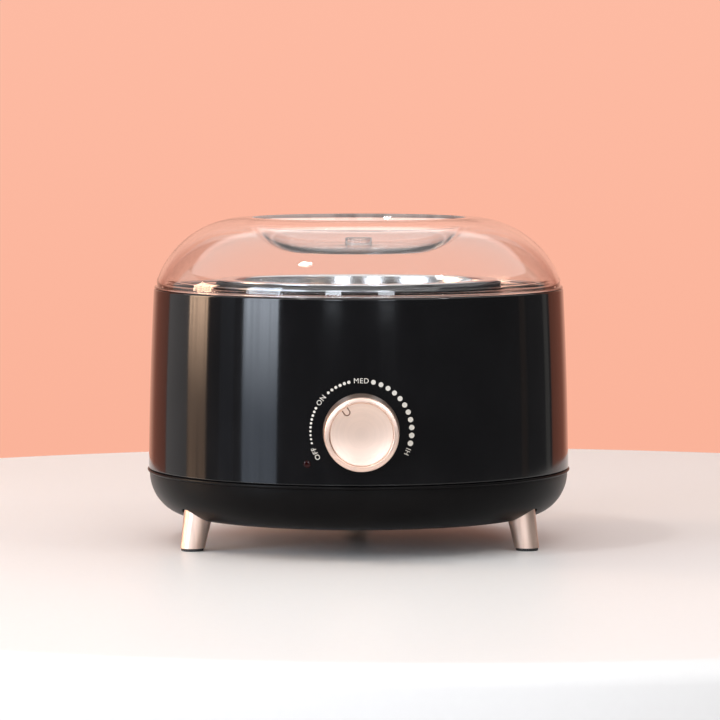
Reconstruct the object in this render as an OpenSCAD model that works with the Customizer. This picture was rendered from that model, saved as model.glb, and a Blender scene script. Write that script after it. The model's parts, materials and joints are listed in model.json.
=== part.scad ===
// Wax warmer pot: a round electric warmer with a lift-out metal pot,
// a clear dished lid, a front temperature knob and three short splayed legs.
// Millimetres, +Z up, front towards -Y.
// The origin is where the drum's axis meets the surface that it stands on.

/* [Overall] */
// Diameter over the lip of the base
body_d = 180; // [150:1:220]
// Height of the drum's rim above the table
body_top = 108; // [90:1:132]
// Clear height under the base
leg_h = 12; // [10:0.5:20]
// Height of the base tray, up to its seam with the drum
tray_h = 19.5; // [17:0.5:24]
// Height of the lid above the drum's rim
lid_h = 30; // [25:0.5:36]

/* [Drum and base] */
// Wall of the drum
shell_wall = 2.5; // [2:0.1:3]
// Narrowing of the drum in radius from seam to rim
shell_taper = 2.4; // [1.5:0.1:4]
// Swell of the drum's side about a straight line
shell_crown = 0.39; // [0:0.01:0.8]
// Wall of the base tray
tray_wall = 2.5; // [2:0.1:3]
// Width of the tray's rounded corner, seen from the side
tray_corner = 16.5; // [14:0.5:18]
// Depth of the deck below the drum's rim, to its underside
deck_drop = 5; // [4:0.5:6]
// Height of the collar round the well above the drum's rim
collar_rise = 0.5; // [-1:0.1:2]

/* [Pot] */
// Space between the heater's insulation and the drum, for the controls
control_space = 18.7; // [18.5:0.1:24]
// Thickness of the insulation sleeve
insulation_t = 5.8; // [4:0.2:7]
// Wall of the heating well
well_wall = 1.5; // [1.2:0.1:2]
// Gap round the lift-out pot
pot_gap = 1.2; // [0.8:0.1:2]
// Wall of the lift-out pot
pot_wall = 1.2; // [1:0.1:1.6]
// Reach of the pot's flange beyond its side
pot_flange_w = 4.2; // [3.8:0.1:4.5]

/* [Lid] */
// Wall of the lid
lid_wall = 2.2; // [1.8:0.1:2.5]
// Outer radius of the flat ring round the lid's dish
lid_ring_r = 48; // [44:0.5:52]
// Width of that ring
lid_ring_w = 3.2; // [2.4:0.1:4]
// Depth of the dish
dish_depth = 12.2; // [10:0.1:14]
// Radius of the flat floor of the dish
dish_flat_r = 24; // [18:0.5:28]
// Radius of the grip stud in the dish
stud_r = 5.7; // [5:0.1:8]
// Height of the grip stud
stud_h = 5.2; // [4:0.1:8]

/* [Controls] */
// Height of the knob's axis above the seam
knob_rise = 22.5; // [20:0.5:28]
// Radius of the knob at its back
knob_r = 15.6; // [13:0.1:17]
// Depth of the knob
knob_depth = 15.1; // [14:0.1:18]
// Radius of the thermostat's shaft
shaft_r = 3; // [2.5:0.1:3.2]
// Radius of the ring of dial dots
dial_r = 20.6; // [19:0.1:22]
// Rest angle of the knob's mark, clockwise from the top
mark_angle = -33.7; // [-60:0.1:60]
// Radius of the signal lens
lens_r = 1.5; // [1.2:0.1:2.5]
// Sideways place of the signal lens, towards the left
lens_x = 22; // [20:0.5:26]
// Bore of the cord gland, as a radius
gland_bore_r = 3.4; // [2.8:0.1:4]

/* [Legs] */
// Distance from the body's edge in to the middle of a foot
leg_inset = 9; // [6:0.5:20]
// Lean of a leg towards the middle
leg_lean = 11.3; // [6:0.1:14]
// Radius of a leg at its foot
leg_foot_r = 5; // [4:0.1:6]
// Radius of a leg at its top
leg_top_r = 6.3; // [5:0.1:7]
// Thickness of a foot pad
pad_h = 1.2; // [0.8:0.1:2]

/* [Hidden] */
$fn = 96;
leg_r = body_d / 2 - leg_inset;

front_a = -90;
rear_a = 90;
leg_a = [210, -30, 90];

// Clearances
seat_gap = 0.05;      // flat seat between pieces that lift apart
run_gap = 0.08;       // shaft in its bushing
slip_gap = 0.3;       // shells that slide together
screw_gap = 0.05;     // screw in its own hole
socket_gap = 0.15;    // leg in its socket

// Heights
seam_z = leg_h + tray_h;
tray_floor_z = leg_h + tray_wall;
tray_curve_h = tray_h - 1.5;
spigot_top = seam_z + 4;
deck_z = body_top - deck_drop;
deck_t = 2.5;
collar_top = body_top + collar_rise;
well_flange_t = 1.2;
gasket_z = collar_top + well_flange_t;
gasket_t = 1.2;
pot_seat_z = gasket_z + gasket_t + seat_gap;
pot_flange_t = 1.2;
shield_z = seam_z + 1.5;
shield_t = 0.8;
disc_t = 4.2;
well_bottom_z = shield_z + shield_t + disc_t;
well_floor_t = 2;
pot_bottom_z = well_bottom_z + well_floor_t + 1;
lid_top = body_top + lid_h;

// Radii
lip_r = body_d / 2;
tray_top_r = lip_r - 0.9;
tray_flat_r = tray_top_r - tray_corner;
shell_low_r = lip_r - 0.5;
shell_top_r = shell_low_r - shell_taper;
spigot_out_r = shell_low_r - shell_wall - slip_gap;
spigot_wall = 2.4;
rim_in_r = shell_top_r - shell_wall;
ledge_w = 3;
insulation_out_r = rim_in_r - control_space;
insulation_in_r = insulation_out_r - insulation_t;
clamp_t = 0.6;
clamp_out_r = insulation_in_r - 0.3;
band_out_r = clamp_out_r - clamp_t;
band_t = 1.6;
well_out_r = band_out_r - band_t;
well_in_r = well_out_r - well_wall;
pot_out_r = well_in_r - pot_gap;
pot_flange_r = pot_out_r + pot_flange_w;
collar_in_r = well_out_r + 0.5;
collar_out_r = collar_in_r + 4;
well_flange_r = collar_out_r - 1.5;

// Heater and sensor places along the well
band_z = well_bottom_z + 3;
upper_space = 26;
band_h = deck_z - upper_space - band_z;
bulb_r = 2.2;
bulb_z = band_z + band_h + 5;
bulb_path_r = well_out_r + bulb_r;
bulb_span = 40;
fuse_r = 2;
fuse_h = 10;
fuse_top_z = deck_z - 6;
fuse_path_r = well_out_r + fuse_r;
fuse_a = 30;
gap_a = -25;          // middle of the opening in the sleeve
gap_span = 44;
tab_a = [-37, -12];   // the heater's two terminals
strap_h = 9;
strap_z = band_z + band_h - strap_h - 2;
lug_a = 4;
lug_hole_x = 4.4;
lug_in = 0.4;
clamp_screw_r = 1.15;
tab_h = 8;
tab_z = band_z + 8;

// Controls
knob_z = seam_z + knob_rise;
wall_r = shell_low_r - 0.4;
spot_depth = 0.5;
flat_r = wall_r - spot_depth;             // outside seat for nut and gland
inner_flat_r = wall_r - shell_wall - 2.3; // inside seat for thermostat and gland
knob_back_r = wall_r + 0.8;
knob_front_r = knob_back_r + knob_depth;
knob_skin = 1.2;
bushing_r = shaft_r + 1.7;
bushing_tip_r = flat_r + 4.6;
box_w = 30;
box_depth = 17;
washer_t = 0.8;
nut_t = 2.5;
shaft_tail_r = inner_flat_r - 8;
shaft_tip_r = knob_front_r - 4.5;
flat_cut = shaft_r * 0.5;
dish_h = 0.9;

lens_z = seam_z + 9.1;
lens_wall_r = shell_r(lens_z);
lens_a = front_a - asin(lens_x / lens_wall_r);
lens_in_r = lens_wall_r - shell_wall;
holder_r = 3.4;
holder_len = 7;

gland_z = seam_z + 14;
gland_stem_r = gland_bore_r + 2.2;
gland_flange_r = gland_bore_r + 4.1;
gland_flange_t = 2.8;
gland_tail = 6;
gland_nut_t = 3.5;

// Fastenings
post_a = [0, 60, 120, 180];
post_r = 4;
post_axis_r = shell_low_r - shell_wall - 5;
post_top = seam_z + 28;
screw_r = 1.5;
screw_head_r = 3.2;
screw_head_h = 2.4;
base_screw_z = leg_h + 9;
leg_socket_s = 20;
leg_boss_s = 23;
leg_boss_r = 9;
leg_screw_r = 1.9;
standoff_a = [0, 120, 240];
standoff_axis_r = insulation_out_r - 6;
standoff_r = 3.5;
block_a = 60;
block_r = insulation_out_r - 18;
block_size = [14, 30, 12];
lead_r = 1.2;
lead_path_r = insulation_out_r + 5;
lead_up_r = insulation_out_r + 3;
lead_z = seam_z - 1.5;

// Dial marks: [first angle, last angle, how many, first radius, last radius]
dial_runs = [
    [-103.7, -63, 10, 0.475, 0.6],
    [-40.4, -14.1, 6, 0.65, 0.75],
    [13.9, 104, 11, 1, 1.175]
];
ink_t = 0.06;
ink_sunk = 0.02;

// Radius of the drum's outside at height z
function shell_r(z) =
    let (t = (z - seam_z) / (body_top - seam_z))
    shell_low_r - shell_taper * t + shell_crown * 4 * t * (1 - t);

// Points along a circle, from angle a0 to a1
function arc(centre, r, a0, a1, n = 24) =
    [for (i = [0:n]) let (a = a0 + (a1 - a0) * i / n) centre + r * [cos(a), sin(a)]];

// Point at azimuth a, radius r and height z
function polar(a, r, z) = [r * cos(a), r * sin(a), z];

// Radius of an arc that starts level and drops by b over a run of a
function cap_radius(a, b) = (a * a + b * b) / (2 * b);

// Local +Z points outwards at azimuth a, at height z
module outward(a, z) {
    rotate([0, 0, a]) translate([0, 0, z]) rotate([0, 90, 0]) children();
}

// Local +Z runs up a leg's leaning axis, from the table
module leg_frame(a) {
    rotate([0, 0, a]) translate([leg_r, 0, 0]) rotate([0, -leg_lean, 0]) children();
}

module ring(r_out, r_in, h) {
    difference() {
        cylinder(r = r_out, h = h);
        translate([0, 0, -1]) cylinder(r = r_in, h = h + 2);
    }
}

// Unit tangent at azimuth a
function tangent(a) = [-sin(a), cos(a), 0];

// Part of s that is square to the direction d, at unit length
function squared(s, d) = let (v = s - (s * d) * d) v / norm(v);

// Round tube along a list of points, with its sections carried along without twist
module wire(points, r, sides = 8) {
    last = len(points) - 1;
    headings = [for (i = [0:last])
        let (v = points[min(i + 1, last)] - points[max(i - 1, 0)]) v / norm(v)];
    first = squared([0.31, 0.47, 0.83], headings[0]);
    sides_of = [for (i = 0, s = first; i <= last; i = i + 1, s = squared(s, headings[min(i, last)])) s];
    rings = [for (i = [0:last], k = [0:sides - 1])
        let (u = cross(headings[i], sides_of[i]), a = 360 * k / sides)
        points[i] + r * (sides_of[i] * cos(a) + u * sin(a))];
    walls = [for (i = [0:last - 1], k = [0:sides - 1], half = [0, 1])
        let (j = (k + 1) % sides, lo = i * sides, hi = (i + 1) * sides)
        half == 0 ? [lo + k, hi + k, lo + j] : [lo + j, hi + k, hi + j]];
    ends = [
        [for (k = [0:sides - 1]) k],
        [for (k = [sides - 1:-1:0]) last * sides + k]
    ];
    polyhedron(points = rings, faces = concat(walls, ends), convexity = 6);
}

// ---- Base ----

function tray_side(inset) =
    [for (a = [0:7.5:90])
        [tray_flat_r + (tray_corner - inset) * sin(a),
         leg_h + tray_curve_h - (tray_curve_h - inset) * cos(a)]];

module tray_outer() {
    rotate_extrude() polygon(concat(
        [[0, leg_h]],
        tray_side(0),
        [[lip_r, seam_z - 1], [lip_r, seam_z - 0.4], [lip_r - 0.4, seam_z]],
        [[spigot_out_r, seam_z], [spigot_out_r, spigot_top], [0, spigot_top]]
    ));
}

module tray_inner() {
    rotate_extrude() polygon(concat(
        [[0, tray_floor_z]],
        tray_side(tray_wall),
        [[spigot_out_r - spigot_wall, seam_z - 1.5], [spigot_out_r - spigot_wall, spigot_top + 1]],
        [[0, spigot_top + 1]]
    ));
}

module base_tray() {
    vents = 18;
    color("#141416") difference() {
        intersection() {
            tray_outer();
            union() {
                difference() {
                    tray_outer();
                    tray_inner();
                }
                for (a = leg_a) leg_frame(a) cylinder(r = leg_boss_r, h = leg_boss_s);
                for (a = post_a) rotate([0, 0, a]) translate([post_axis_r, 0, 0])
                    cylinder(r = post_r + 0.5, h = spigot_top);
            }
        }
        for (a = leg_a) leg_frame(a) {
            leg_cone(socket_gap);
            cylinder(r = leg_screw_r + 0.2, h = leg_boss_s + 2);
        }
        for (a = post_a) rotate([0, 0, a]) translate([post_axis_r, 0, 0]) {
            cylinder(r = screw_head_r + slip_gap, h = base_screw_z + screw_head_h);
            cylinder(r = screw_r + slip_gap, h = spigot_top + 1);
        }
        for (i = [0:vents - 1]) rotate([0, 0, 360 * i / vents])
            translate([block_r - 26, -1.1, leg_h - 1]) cube([16, 2.2, tray_wall + 2]);
    }
}

// ---- Legs ----

module leg_cone(gap = 0) {
    cylinder(r1 = leg_foot_r + gap, r2 = leg_top_r + gap, h = leg_socket_s);
}

module leg(a) {
    color("#c9a48e") difference() {
        intersection() {
            leg_frame(a) leg_cone();
            translate([0, 0, pad_h]) cylinder(r = leg_r + 20, h = leg_socket_s + 5);
        }
        leg_frame(a) translate([0, 0, 7]) cylinder(r = leg_screw_r + screw_gap, h = leg_socket_s);
    }
}

module foot_pad(a) {
    color("#26262a") rotate([0, 0, a]) translate([leg_r - pad_h * tan(leg_lean), 0, 0])
        cylinder(r = leg_foot_r - 0.3, h = pad_h);
}

module leg_front_left() { leg(leg_a[0]); }
module leg_front_right() { leg(leg_a[1]); }
module leg_rear() { leg(leg_a[2]); }
module foot_pad_front_left() { foot_pad(leg_a[0]); }
module foot_pad_front_right() { foot_pad(leg_a[1]); }
module foot_pad_rear() { foot_pad(leg_a[2]); }

module leg_screws() {
    color("silver") for (a = leg_a) leg_frame(a) {
        translate([0, 0, 8]) cylinder(r = leg_screw_r, h = leg_boss_s - 8);
        translate([0, 0, leg_boss_s]) cylinder(r = leg_screw_r + 1.6, h = 2.2);
    }
}

module base_screws() {
    color("silver") for (a = post_a) rotate([0, 0, a]) translate([post_axis_r, 0, 0]) {
        translate([0, 0, base_screw_z]) cylinder(r = screw_head_r, h = screw_head_h);
        translate([0, 0, base_screw_z]) cylinder(r = screw_r, h = spigot_top + 14 - base_screw_z);
    }
}

// ---- Drum ----

module shell_wall_solid() {
    steps = 12;
    edge = 0.8;
    outer = [for (i = [0:steps]) let (z = seam_z + 0.5 + (body_top - edge - seam_z - 0.5) * i / steps)
        [shell_r(z), z]];
    inner = [for (i = [0:steps]) let (z = deck_z - 5 - (deck_z - 5 - seam_z) * i / steps)
        [shell_r(z) - shell_wall, z]];
    rotate_extrude() polygon(concat(
        [[shell_low_r - 0.5, seam_z]],
        outer,
        arc([shell_r(body_top - edge) - edge, body_top - edge], edge, 10, 90, 6),
        [[rim_in_r + 0.4, body_top], [rim_in_r, body_top - 0.4]],
        [[rim_in_r, deck_z], [rim_in_r - ledge_w, deck_z], [rim_in_r - ledge_w, deck_z - 2]],
        inner
    ));
}

module body_shell() {
    lens_hole = lens_r + 0.05;
    color("#0d0d0f") difference() {
        union() {
            shell_wall_solid();
            outward(front_a, knob_z) translate([0, 0, inner_flat_r])
                cylinder(r = 12, h = wall_r - 1 - inner_flat_r);
            outward(rear_a, gland_z) translate([0, 0, inner_flat_r])
                cylinder(r = 9, h = wall_r - 1 - inner_flat_r);
            for (a = post_a) rotate([0, 0, a]) translate([post_axis_r, 0, spigot_top]) {
                cylinder(r = post_r, h = post_top - spigot_top);
                translate([0, -1.5, 0]) cube([post_r + 1.8, 3, post_top - spigot_top]);
            }
        }
        outward(front_a, knob_z) {
            cylinder(r = bushing_r + 0.2, h = lip_r + 5);
            translate([0, 0, flat_r]) cylinder(r = 9, h = 5);
        }
        outward(rear_a, gland_z) {
            cylinder(r = gland_stem_r + 0.2, h = lip_r + 5);
            translate([0, 0, flat_r]) cylinder(r = gland_flange_r + slip_gap, h = 5);
        }
        outward(lens_a, lens_z) cylinder(r = lens_hole, h = lip_r + 5);
        for (a = post_a) rotate([0, 0, a]) translate([post_axis_r, 0, spigot_top - 1])
            cylinder(r = screw_r + screw_gap, h = 17);
    }
}

module dial_marks() {
    color("#e9e2d2") for (run = dial_runs) for (i = [0:run[2] - 1]) {
        t = i / (run[2] - 1);
        a = run[0] + (run[1] - run[0]) * t;
        r = run[3] + (run[4] - run[3]) * t;
        z = knob_z + dial_r * cos(a);
        skin_r = shell_r(z);
        outward(front_a + asin(dial_r * sin(a) / skin_r), z)
            translate([0, 0, skin_r - ink_sunk]) cylinder(r = r, h = ink_t + ink_sunk, $fn = 24);
    }
}

module deck_ring() {
    out_r = rim_in_r - slip_gap;
    color("#101012") rotate_extrude() polygon([
        [collar_in_r, deck_z], [out_r, deck_z], [out_r, deck_z + deck_t - 0.5],
        [out_r - 0.5, deck_z + deck_t], [collar_out_r + 1, deck_z + deck_t],
        [collar_out_r, deck_z + deck_t + 1], [collar_out_r, collar_top], [collar_in_r, collar_top]
    ]);
}

// ---- Well, pot and lid ----

module heating_well() {
    corner = 4;
    color("#b9bbbe") rotate_extrude() polygon(concat(
        [[0, well_bottom_z]],
        arc([well_out_r - corner, well_bottom_z + corner], corner, -90, 0, 8),
        [[well_out_r, collar_top], [well_flange_r, collar_top]],
        [[well_flange_r, gasket_z], [well_in_r, gasket_z]],
        arc([well_out_r - corner, well_bottom_z + corner], corner - well_wall, 0, -90, 8),
        [[0, well_bottom_z + well_wall]]
    ));
}

module pot_gasket() {
    color("#3a3a3d") translate([0, 0, gasket_z]) ring(well_flange_r, well_out_r - 0.5, gasket_t);
}

module wax_pot() {
    corner = 6;
    lip = pot_flange_t / 2;
    rim = [pot_flange_r - lip, pot_seat_z + lip];
    foot = [pot_out_r - corner, pot_bottom_z + corner];
    color("#c8cacc") rotate_extrude() polygon(concat(
        [[0, pot_bottom_z]],
        arc(foot, corner, -90, 0, 10),
        [[pot_out_r, pot_seat_z]],
        arc(rim, lip, -90, 90, 10),
        [[pot_out_r - pot_wall + 0.8, pot_seat_z + pot_flange_t]],
        [[pot_out_r - pot_wall, pot_seat_z + pot_flange_t - 0.8]],
        arc(foot, corner - pot_wall, 0, -90, 10),
        [[0, pot_bottom_z + pot_wall]]
    ));
}

module lid() {
    rest_z = body_top + seat_gap;
    skirt_r = shell_top_r - 1.3;
    skirt_in_r = skirt_r - lid_wall;
    skirt_top = body_top + 3.5;
    rib_out_r = rim_in_r - 1.4;
    rib_in_r = rib_out_r - 1.8;
    rib_bottom = deck_z + deck_t + 0.8;
    dome_r = cap_radius(skirt_r - lid_ring_r, lid_top - skirt_top);
    dome = [lid_ring_r, lid_top - dome_r];
    dome_in_r = dome_r - lid_wall;
    ring_in_r = lid_ring_r - lid_ring_w;
    dish_r = cap_radius(ring_in_r - dish_flat_r, dish_depth);
    dish = [dish_flat_r, lid_top - dish_depth + dish_r];
    dish_out_r = dish_r + lid_wall;
    floor_z = lid_top - dish_depth;
    color([0.9, 0.95, 0.97, 0.35]) rotate_extrude() polygon(concat(
        [[rib_in_r, rib_bottom], [rib_out_r, rib_bottom], [rib_out_r, rest_z]],
        [[shell_top_r - 0.2, rest_z], [shell_top_r - 0.2, rest_z + 0.6], [skirt_r, rest_z + 0.9]],
        arc(dome, dome_r, atan2(skirt_top - dome[1], skirt_r - lid_ring_r), 90, 32),
        arc(dish, dish_r, -asin((dish[1] - lid_top) / dish_r), -90, 20),
        [[stud_r, floor_z], [stud_r, floor_z + stud_h - 1]],
        arc([stud_r - 1, floor_z + stud_h - 1], 1, 18, 90, 4),
        [[0, floor_z + stud_h], [0, floor_z - lid_wall]],
        arc(dish, dish_out_r, -90, -asin((dish[1] - lid_top + lid_wall) / dish_out_r), 20),
        arc(dome, dome_in_r, 90, acos((skirt_in_r - lid_ring_r) / dome_in_r), 32),
        [[skirt_in_r, rest_z + 1.6], [rib_in_r, rest_z + 1.6]]
    ));
}

// ---- Heater ----

module heater_band() {
    color("#8f8a7c") union() {
        translate([0, 0, band_z]) ring(band_out_r, well_out_r, band_h);
        for (a = tab_a) rotate([0, 0, a]) translate([band_out_r - 0.8, -3, tab_z])
            cube([3.2, 6, tab_h]);
    }
}

module heater_clamp() {
    color("silver") translate([0, 0, strap_z]) {
        rotate([0, 0, gap_a + lug_a]) rotate_extrude(angle = 360 - 2 * lug_a)
            translate([band_out_r, 0]) square([clamp_t, strap_h]);
        for (side = [-1, 1]) rotate([0, 0, gap_a + side * lug_a])
            translate([band_out_r + clamp_t / 2, side * (clamp_t + lug_in) - clamp_t / 2, lug_in])
                difference() {
                    cube([7, clamp_t, strap_h - 2 * lug_in]);
                    translate([lug_hole_x - clamp_t / 2, -1, strap_h / 2 - lug_in])
                        rotate([-90, 0, 0]) cylinder(r = clamp_screw_r + 0.4, h = 3, $fn = 32);
                }
    }
}

module clamp_screw() {
    axis_r = band_out_r + lug_hole_x;
    reach = axis_r * sin(lug_a) + 2 * clamp_t + lug_in + 0.1;
    color("silver") rotate([0, 0, gap_a]) translate([axis_r, 0, strap_z + strap_h / 2])
        rotate([-90, 0, 0]) {
            translate([0, 0, -reach - 2]) cylinder(r = clamp_screw_r, h = 2 * reach + 2.5, $fn = 32);
            translate([0, 0, reach]) cylinder(r = 2.2, h = 1.6, $fn = 32);
        }
}

module insulation_sleeve() {
    color("#d9d2c2") rotate([0, 0, gap_a + gap_span / 2]) rotate_extrude(angle = 360 - gap_span)
        translate([insulation_in_r, band_z]) square([insulation_t, band_h]);
}

module insulation_disc() {
    color("#d9d2c2") translate([0, 0, shield_z + shield_t]) cylinder(r = well_out_r - 4, h = disc_t);
}

module heat_shield() {
    shield_r = insulation_out_r - 1.5;
    color("#a9abad") difference() {
        rotate_extrude() polygon([
            [0, shield_z], [shield_r, shield_z], [shield_r, shield_z + 4],
            [shield_r - shield_t, shield_z + 4], [shield_r - shield_t, shield_z + shield_t],
            [0, shield_z + shield_t]
        ]);
        for (a = standoff_a) rotate([0, 0, a]) translate([standoff_axis_r, 0, shield_z - 1])
            cylinder(r = screw_r + 0.2, h = 3);
    }
}

module shield_standoffs() {
    color("#c9a94a") for (a = standoff_a) rotate([0, 0, a])
        translate([standoff_axis_r, 0, tray_floor_z]) difference() {
            cylinder(r = standoff_r, h = shield_z - tray_floor_z);
            translate([0, 0, 6]) cylinder(r = screw_r + screw_gap, h = shield_z);
        }
}

module shield_screws() {
    color("silver") for (a = standoff_a) rotate([0, 0, a]) translate([standoff_axis_r, 0, 0]) {
        translate([0, 0, shield_z - 8]) cylinder(r = screw_r, h = 8 + shield_t);
        translate([0, 0, shield_z + shield_t]) cylinder(r = 2.6, h = 1.6);
    }
}

module thermal_fuse() {
    color("#b9a06a") rotate([0, 0, fuse_a]) translate([fuse_path_r, 0, fuse_top_z - fuse_h])
        cylinder(r = fuse_r, h = fuse_h, $fn = 32);
}

module fuse_clip() {
    color("silver") rotate([0, 0, fuse_a]) difference() {
        translate([well_out_r, -3.2, fuse_top_z - 8]) cube([2 * fuse_r + 0.8, 6.4, 4]);
        translate([fuse_path_r, 0, fuse_top_z - fuse_h - 1])
            cylinder(r = fuse_r + screw_gap, h = fuse_h, $fn = 32);
        translate([0, 0, fuse_top_z - 9]) cylinder(r = well_out_r + seat_gap, h = 6);
    }
}

// ---- Thermostat ----

module thermostat() {
    color("#d8d3c8") outward(front_a, knob_z) difference() {
        union() {
            translate([-box_w / 2, -box_w / 2, inner_flat_r - box_depth])
                cube([box_w, box_w, box_depth]);
            cylinder(r = bushing_r, h = bushing_tip_r);
        }
        translate([0, 0, shaft_tail_r - 0.3]) cylinder(r = shaft_r + run_gap, h = lip_r);
        translate([0, 0, -1]) cylinder(r = bushing_r + 1, h = inner_flat_r - box_depth + 1);
    }
}

module thermostat_washer() {
    color("silver") outward(front_a, knob_z) translate([0, 0, flat_r])
        ring(8, bushing_r + 0.1, washer_t);
}

module thermostat_nut() {
    color("silver") outward(front_a, knob_z) translate([0, 0, flat_r + washer_t]) difference() {
        cylinder(r = 8, h = nut_t, $fn = 6);
        translate([0, 0, -1]) cylinder(r = bushing_r + screw_gap, h = nut_t + 2);
    }
}

module shaft_section(gap, from, to) {
    difference() {
        translate([0, 0, from]) cylinder(r = shaft_r + gap, h = to - from);
        translate([-shaft_r - 1, flat_cut + gap, bushing_tip_r + 0.6])
            cube([2 * shaft_r + 2, shaft_r, to]);
    }
}

module thermostat_shaft() {
    color("#c2c4c6") outward(front_a, knob_z) shaft_section(0, shaft_tail_r, shaft_tip_r);
}

module sensor_bulb() {
    color("#b87a4b") rotate([0, 0, front_a - bulb_span / 2]) rotate_extrude(angle = bulb_span)
        translate([bulb_path_r, bulb_z]) circle(r = bulb_r, $fn = 32);
}

module sensor_clips() {
    reach = 2 * bulb_r + 0.8;
    color("silver") for (a = [-10, 10]) rotate([0, 0, front_a + a]) difference() {
        translate([well_out_r, -1.5, bulb_z - bulb_r - 1.2]) cube([reach, 3, 2 * bulb_r + 2.4]);
        rotate_extrude() translate([bulb_path_r, bulb_z]) circle(r = bulb_r + screw_gap, $fn = 32);
        translate([0, 0, bulb_z - 5]) cylinder(r = well_out_r + seat_gap, h = 10);
    }
}

module capillary_tube() {
    end_a = front_a + bulb_span / 2;
    box_top = knob_z + box_w / 2;
    box_y = -(inner_flat_r - box_depth / 2);
    color("#b87a4b") wire([
        polar(end_a, bulb_path_r, bulb_z),
        polar(end_a, bulb_path_r, bulb_z) + 3 * tangent(end_a),
        polar(end_a + 7, bulb_path_r + 3, bulb_z),
        polar(end_a + 8, bulb_path_r + 8, bulb_z),
        [20, box_y + 2, bulb_z],
        [14, box_y, bulb_z - 1],
        [9, box_y, (bulb_z + box_top) / 2],
        [8, box_y, box_top + 1.5],
        [8, box_y, box_top]
    ], 0.8);
}

// ---- Knob ----

module knob_shell() {
    front_r = knob_r - 0.5;
    color("#d3ab97") outward(front_a, knob_z) translate([0, 0, knob_back_r]) rotate_extrude()
        polygon([
            [knob_r - 0.3, 0], [knob_r, 0.4], [front_r, knob_depth - 1], [front_r - 0.6, knob_depth],
            [front_r - 1.8, knob_depth], [front_r - 2.3, knob_depth - 0.7],
            [front_r - 2.3, knob_depth - 2], [front_r - knob_skin, knob_depth - 2],
            [knob_r - knob_skin, 0]
        ]);
}

module knob_face() {
    face_r = knob_r - 2.9;
    back = knob_depth - 2;
    color("#d9b8a6") outward(front_a, knob_z) difference() {
        translate([0, 0, knob_back_r]) rotate_extrude() polygon(concat(
            [[0, back], [face_r, back], [face_r, back + 1], [face_r - 0.4, back + 1.2]],
            [for (i = [1:10]) let (x = face_r * (1 - i / 10) - 0.04 * (10 - i))
                [x, back + 1.2 - dish_h * (1 - pow(x / face_r, 2))]]
        ));
        rotate([0, 0, 180 - mark_angle]) translate([face_r - 3.6, -0.5, knob_front_r - 1.6])
            cube([2.6, 1, 2]);
    }
}

module knob_core() {
    plate_r = knob_r - 0.5 - knob_skin - 0.02;
    color("#1c1c1f") outward(front_a, knob_z) difference() {
        union() {
            translate([0, 0, knob_front_r - 4]) cylinder(r = plate_r, h = 2);
            translate([0, 0, bushing_tip_r + 0.6])
                cylinder(r = shaft_r + 2.5, h = knob_front_r - 3 - bushing_tip_r);
        }
        shaft_section(screw_gap, bushing_tip_r, shaft_tip_r + 0.1);
    }
}

module knob_spring() {
    color("silver") outward(front_a, knob_z) translate([0, 0, bushing_tip_r + 1.6])
        rotate_extrude(angle = 320) translate([shaft_r + 2.5, 0]) square([0.6, 3]);
}

// ---- Signal lamp ----

module indicator_lens() {
    proud = 0.35;
    color("#5a0d0d") outward(lens_a, lens_z) {
        translate([0, 0, lens_in_r - 0.9]) cylinder(r = lens_r + 1, h = 0.8, $fn = 48);
        translate([0, 0, lens_in_r - 0.5])
            cylinder(r = lens_r, h = lens_wall_r + proud - lens_in_r + 0.5, $fn = 48);
    }
}

module indicator_holder() {
    color("#e8e4da") outward(lens_a, lens_z) translate([0, 0, lens_in_r - 0.9 - holder_len])
        difference() {
            cylinder(r = holder_r, h = holder_len);
            translate([0, 0, 1.2]) cylinder(r = lens_r + 0.9, h = holder_len);
        }
}

module indicator_lamp() {
    lamp_r = lens_r + 0.4;
    color("#e07a3a") outward(lens_a, lens_z) translate([0, 0, lens_in_r - 0.9 - holder_len + 1.2]) {
        cylinder(r = lamp_r, h = 3.2, $fn = 48);
        translate([0, 0, 3.2]) sphere(r = lamp_r, $fn = 48);
    }
}

// ---- Cord inlet and wiring ----

module cord_gland() {
    tail_r = inner_flat_r - gland_tail;
    color("#17171a") outward(rear_a, gland_z) difference() {
        union() {
            translate([0, 0, tail_r]) cylinder(r = gland_stem_r, h = flat_r - tail_r);
            translate([0, 0, flat_r]) cylinder(r = gland_flange_r, h = gland_flange_t - 0.8);
            translate([0, 0, flat_r + gland_flange_t - 0.8])
                cylinder(r1 = gland_flange_r, r2 = gland_flange_r - 1.2, h = 0.8);
        }
        translate([0, 0, tail_r - 1]) cylinder(r = gland_bore_r, h = lip_r);
    }
}

module gland_nut() {
    color("#232327") outward(rear_a, gland_z) translate([0, 0, inner_flat_r - gland_nut_t])
        difference() {
            cylinder(r = gland_stem_r + 2.8, h = gland_nut_t, $fn = 6);
            translate([0, 0, -1]) cylinder(r = gland_stem_r + screw_gap, h = gland_nut_t + 2);
        }
}

module terminal_block() {
    color("#e6e2d6") rotate([0, 0, block_a]) translate([block_r, 0, tray_floor_z]) difference() {
        translate([-block_size[0] / 2, -block_size[1] / 2, 0]) cube(block_size);
        for (y = [-10, 0, 10]) translate([0, y, block_size[2] - 5]) cylinder(r = 2.6, h = 6);
    }
}

module terminal_screws() {
    color("#c9a94a") rotate([0, 0, block_a]) translate([block_r, 0, tray_floor_z])
        for (y = [-10, 0, 10]) translate([0, y, block_size[2] - 5]) cylinder(r = 2.4, h = 3);
}

block_face_r = block_r + block_size[0] / 2;
box_bottom_z = knob_z - box_w / 2;
box_mid_r = inner_flat_r - box_depth / 2;

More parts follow.
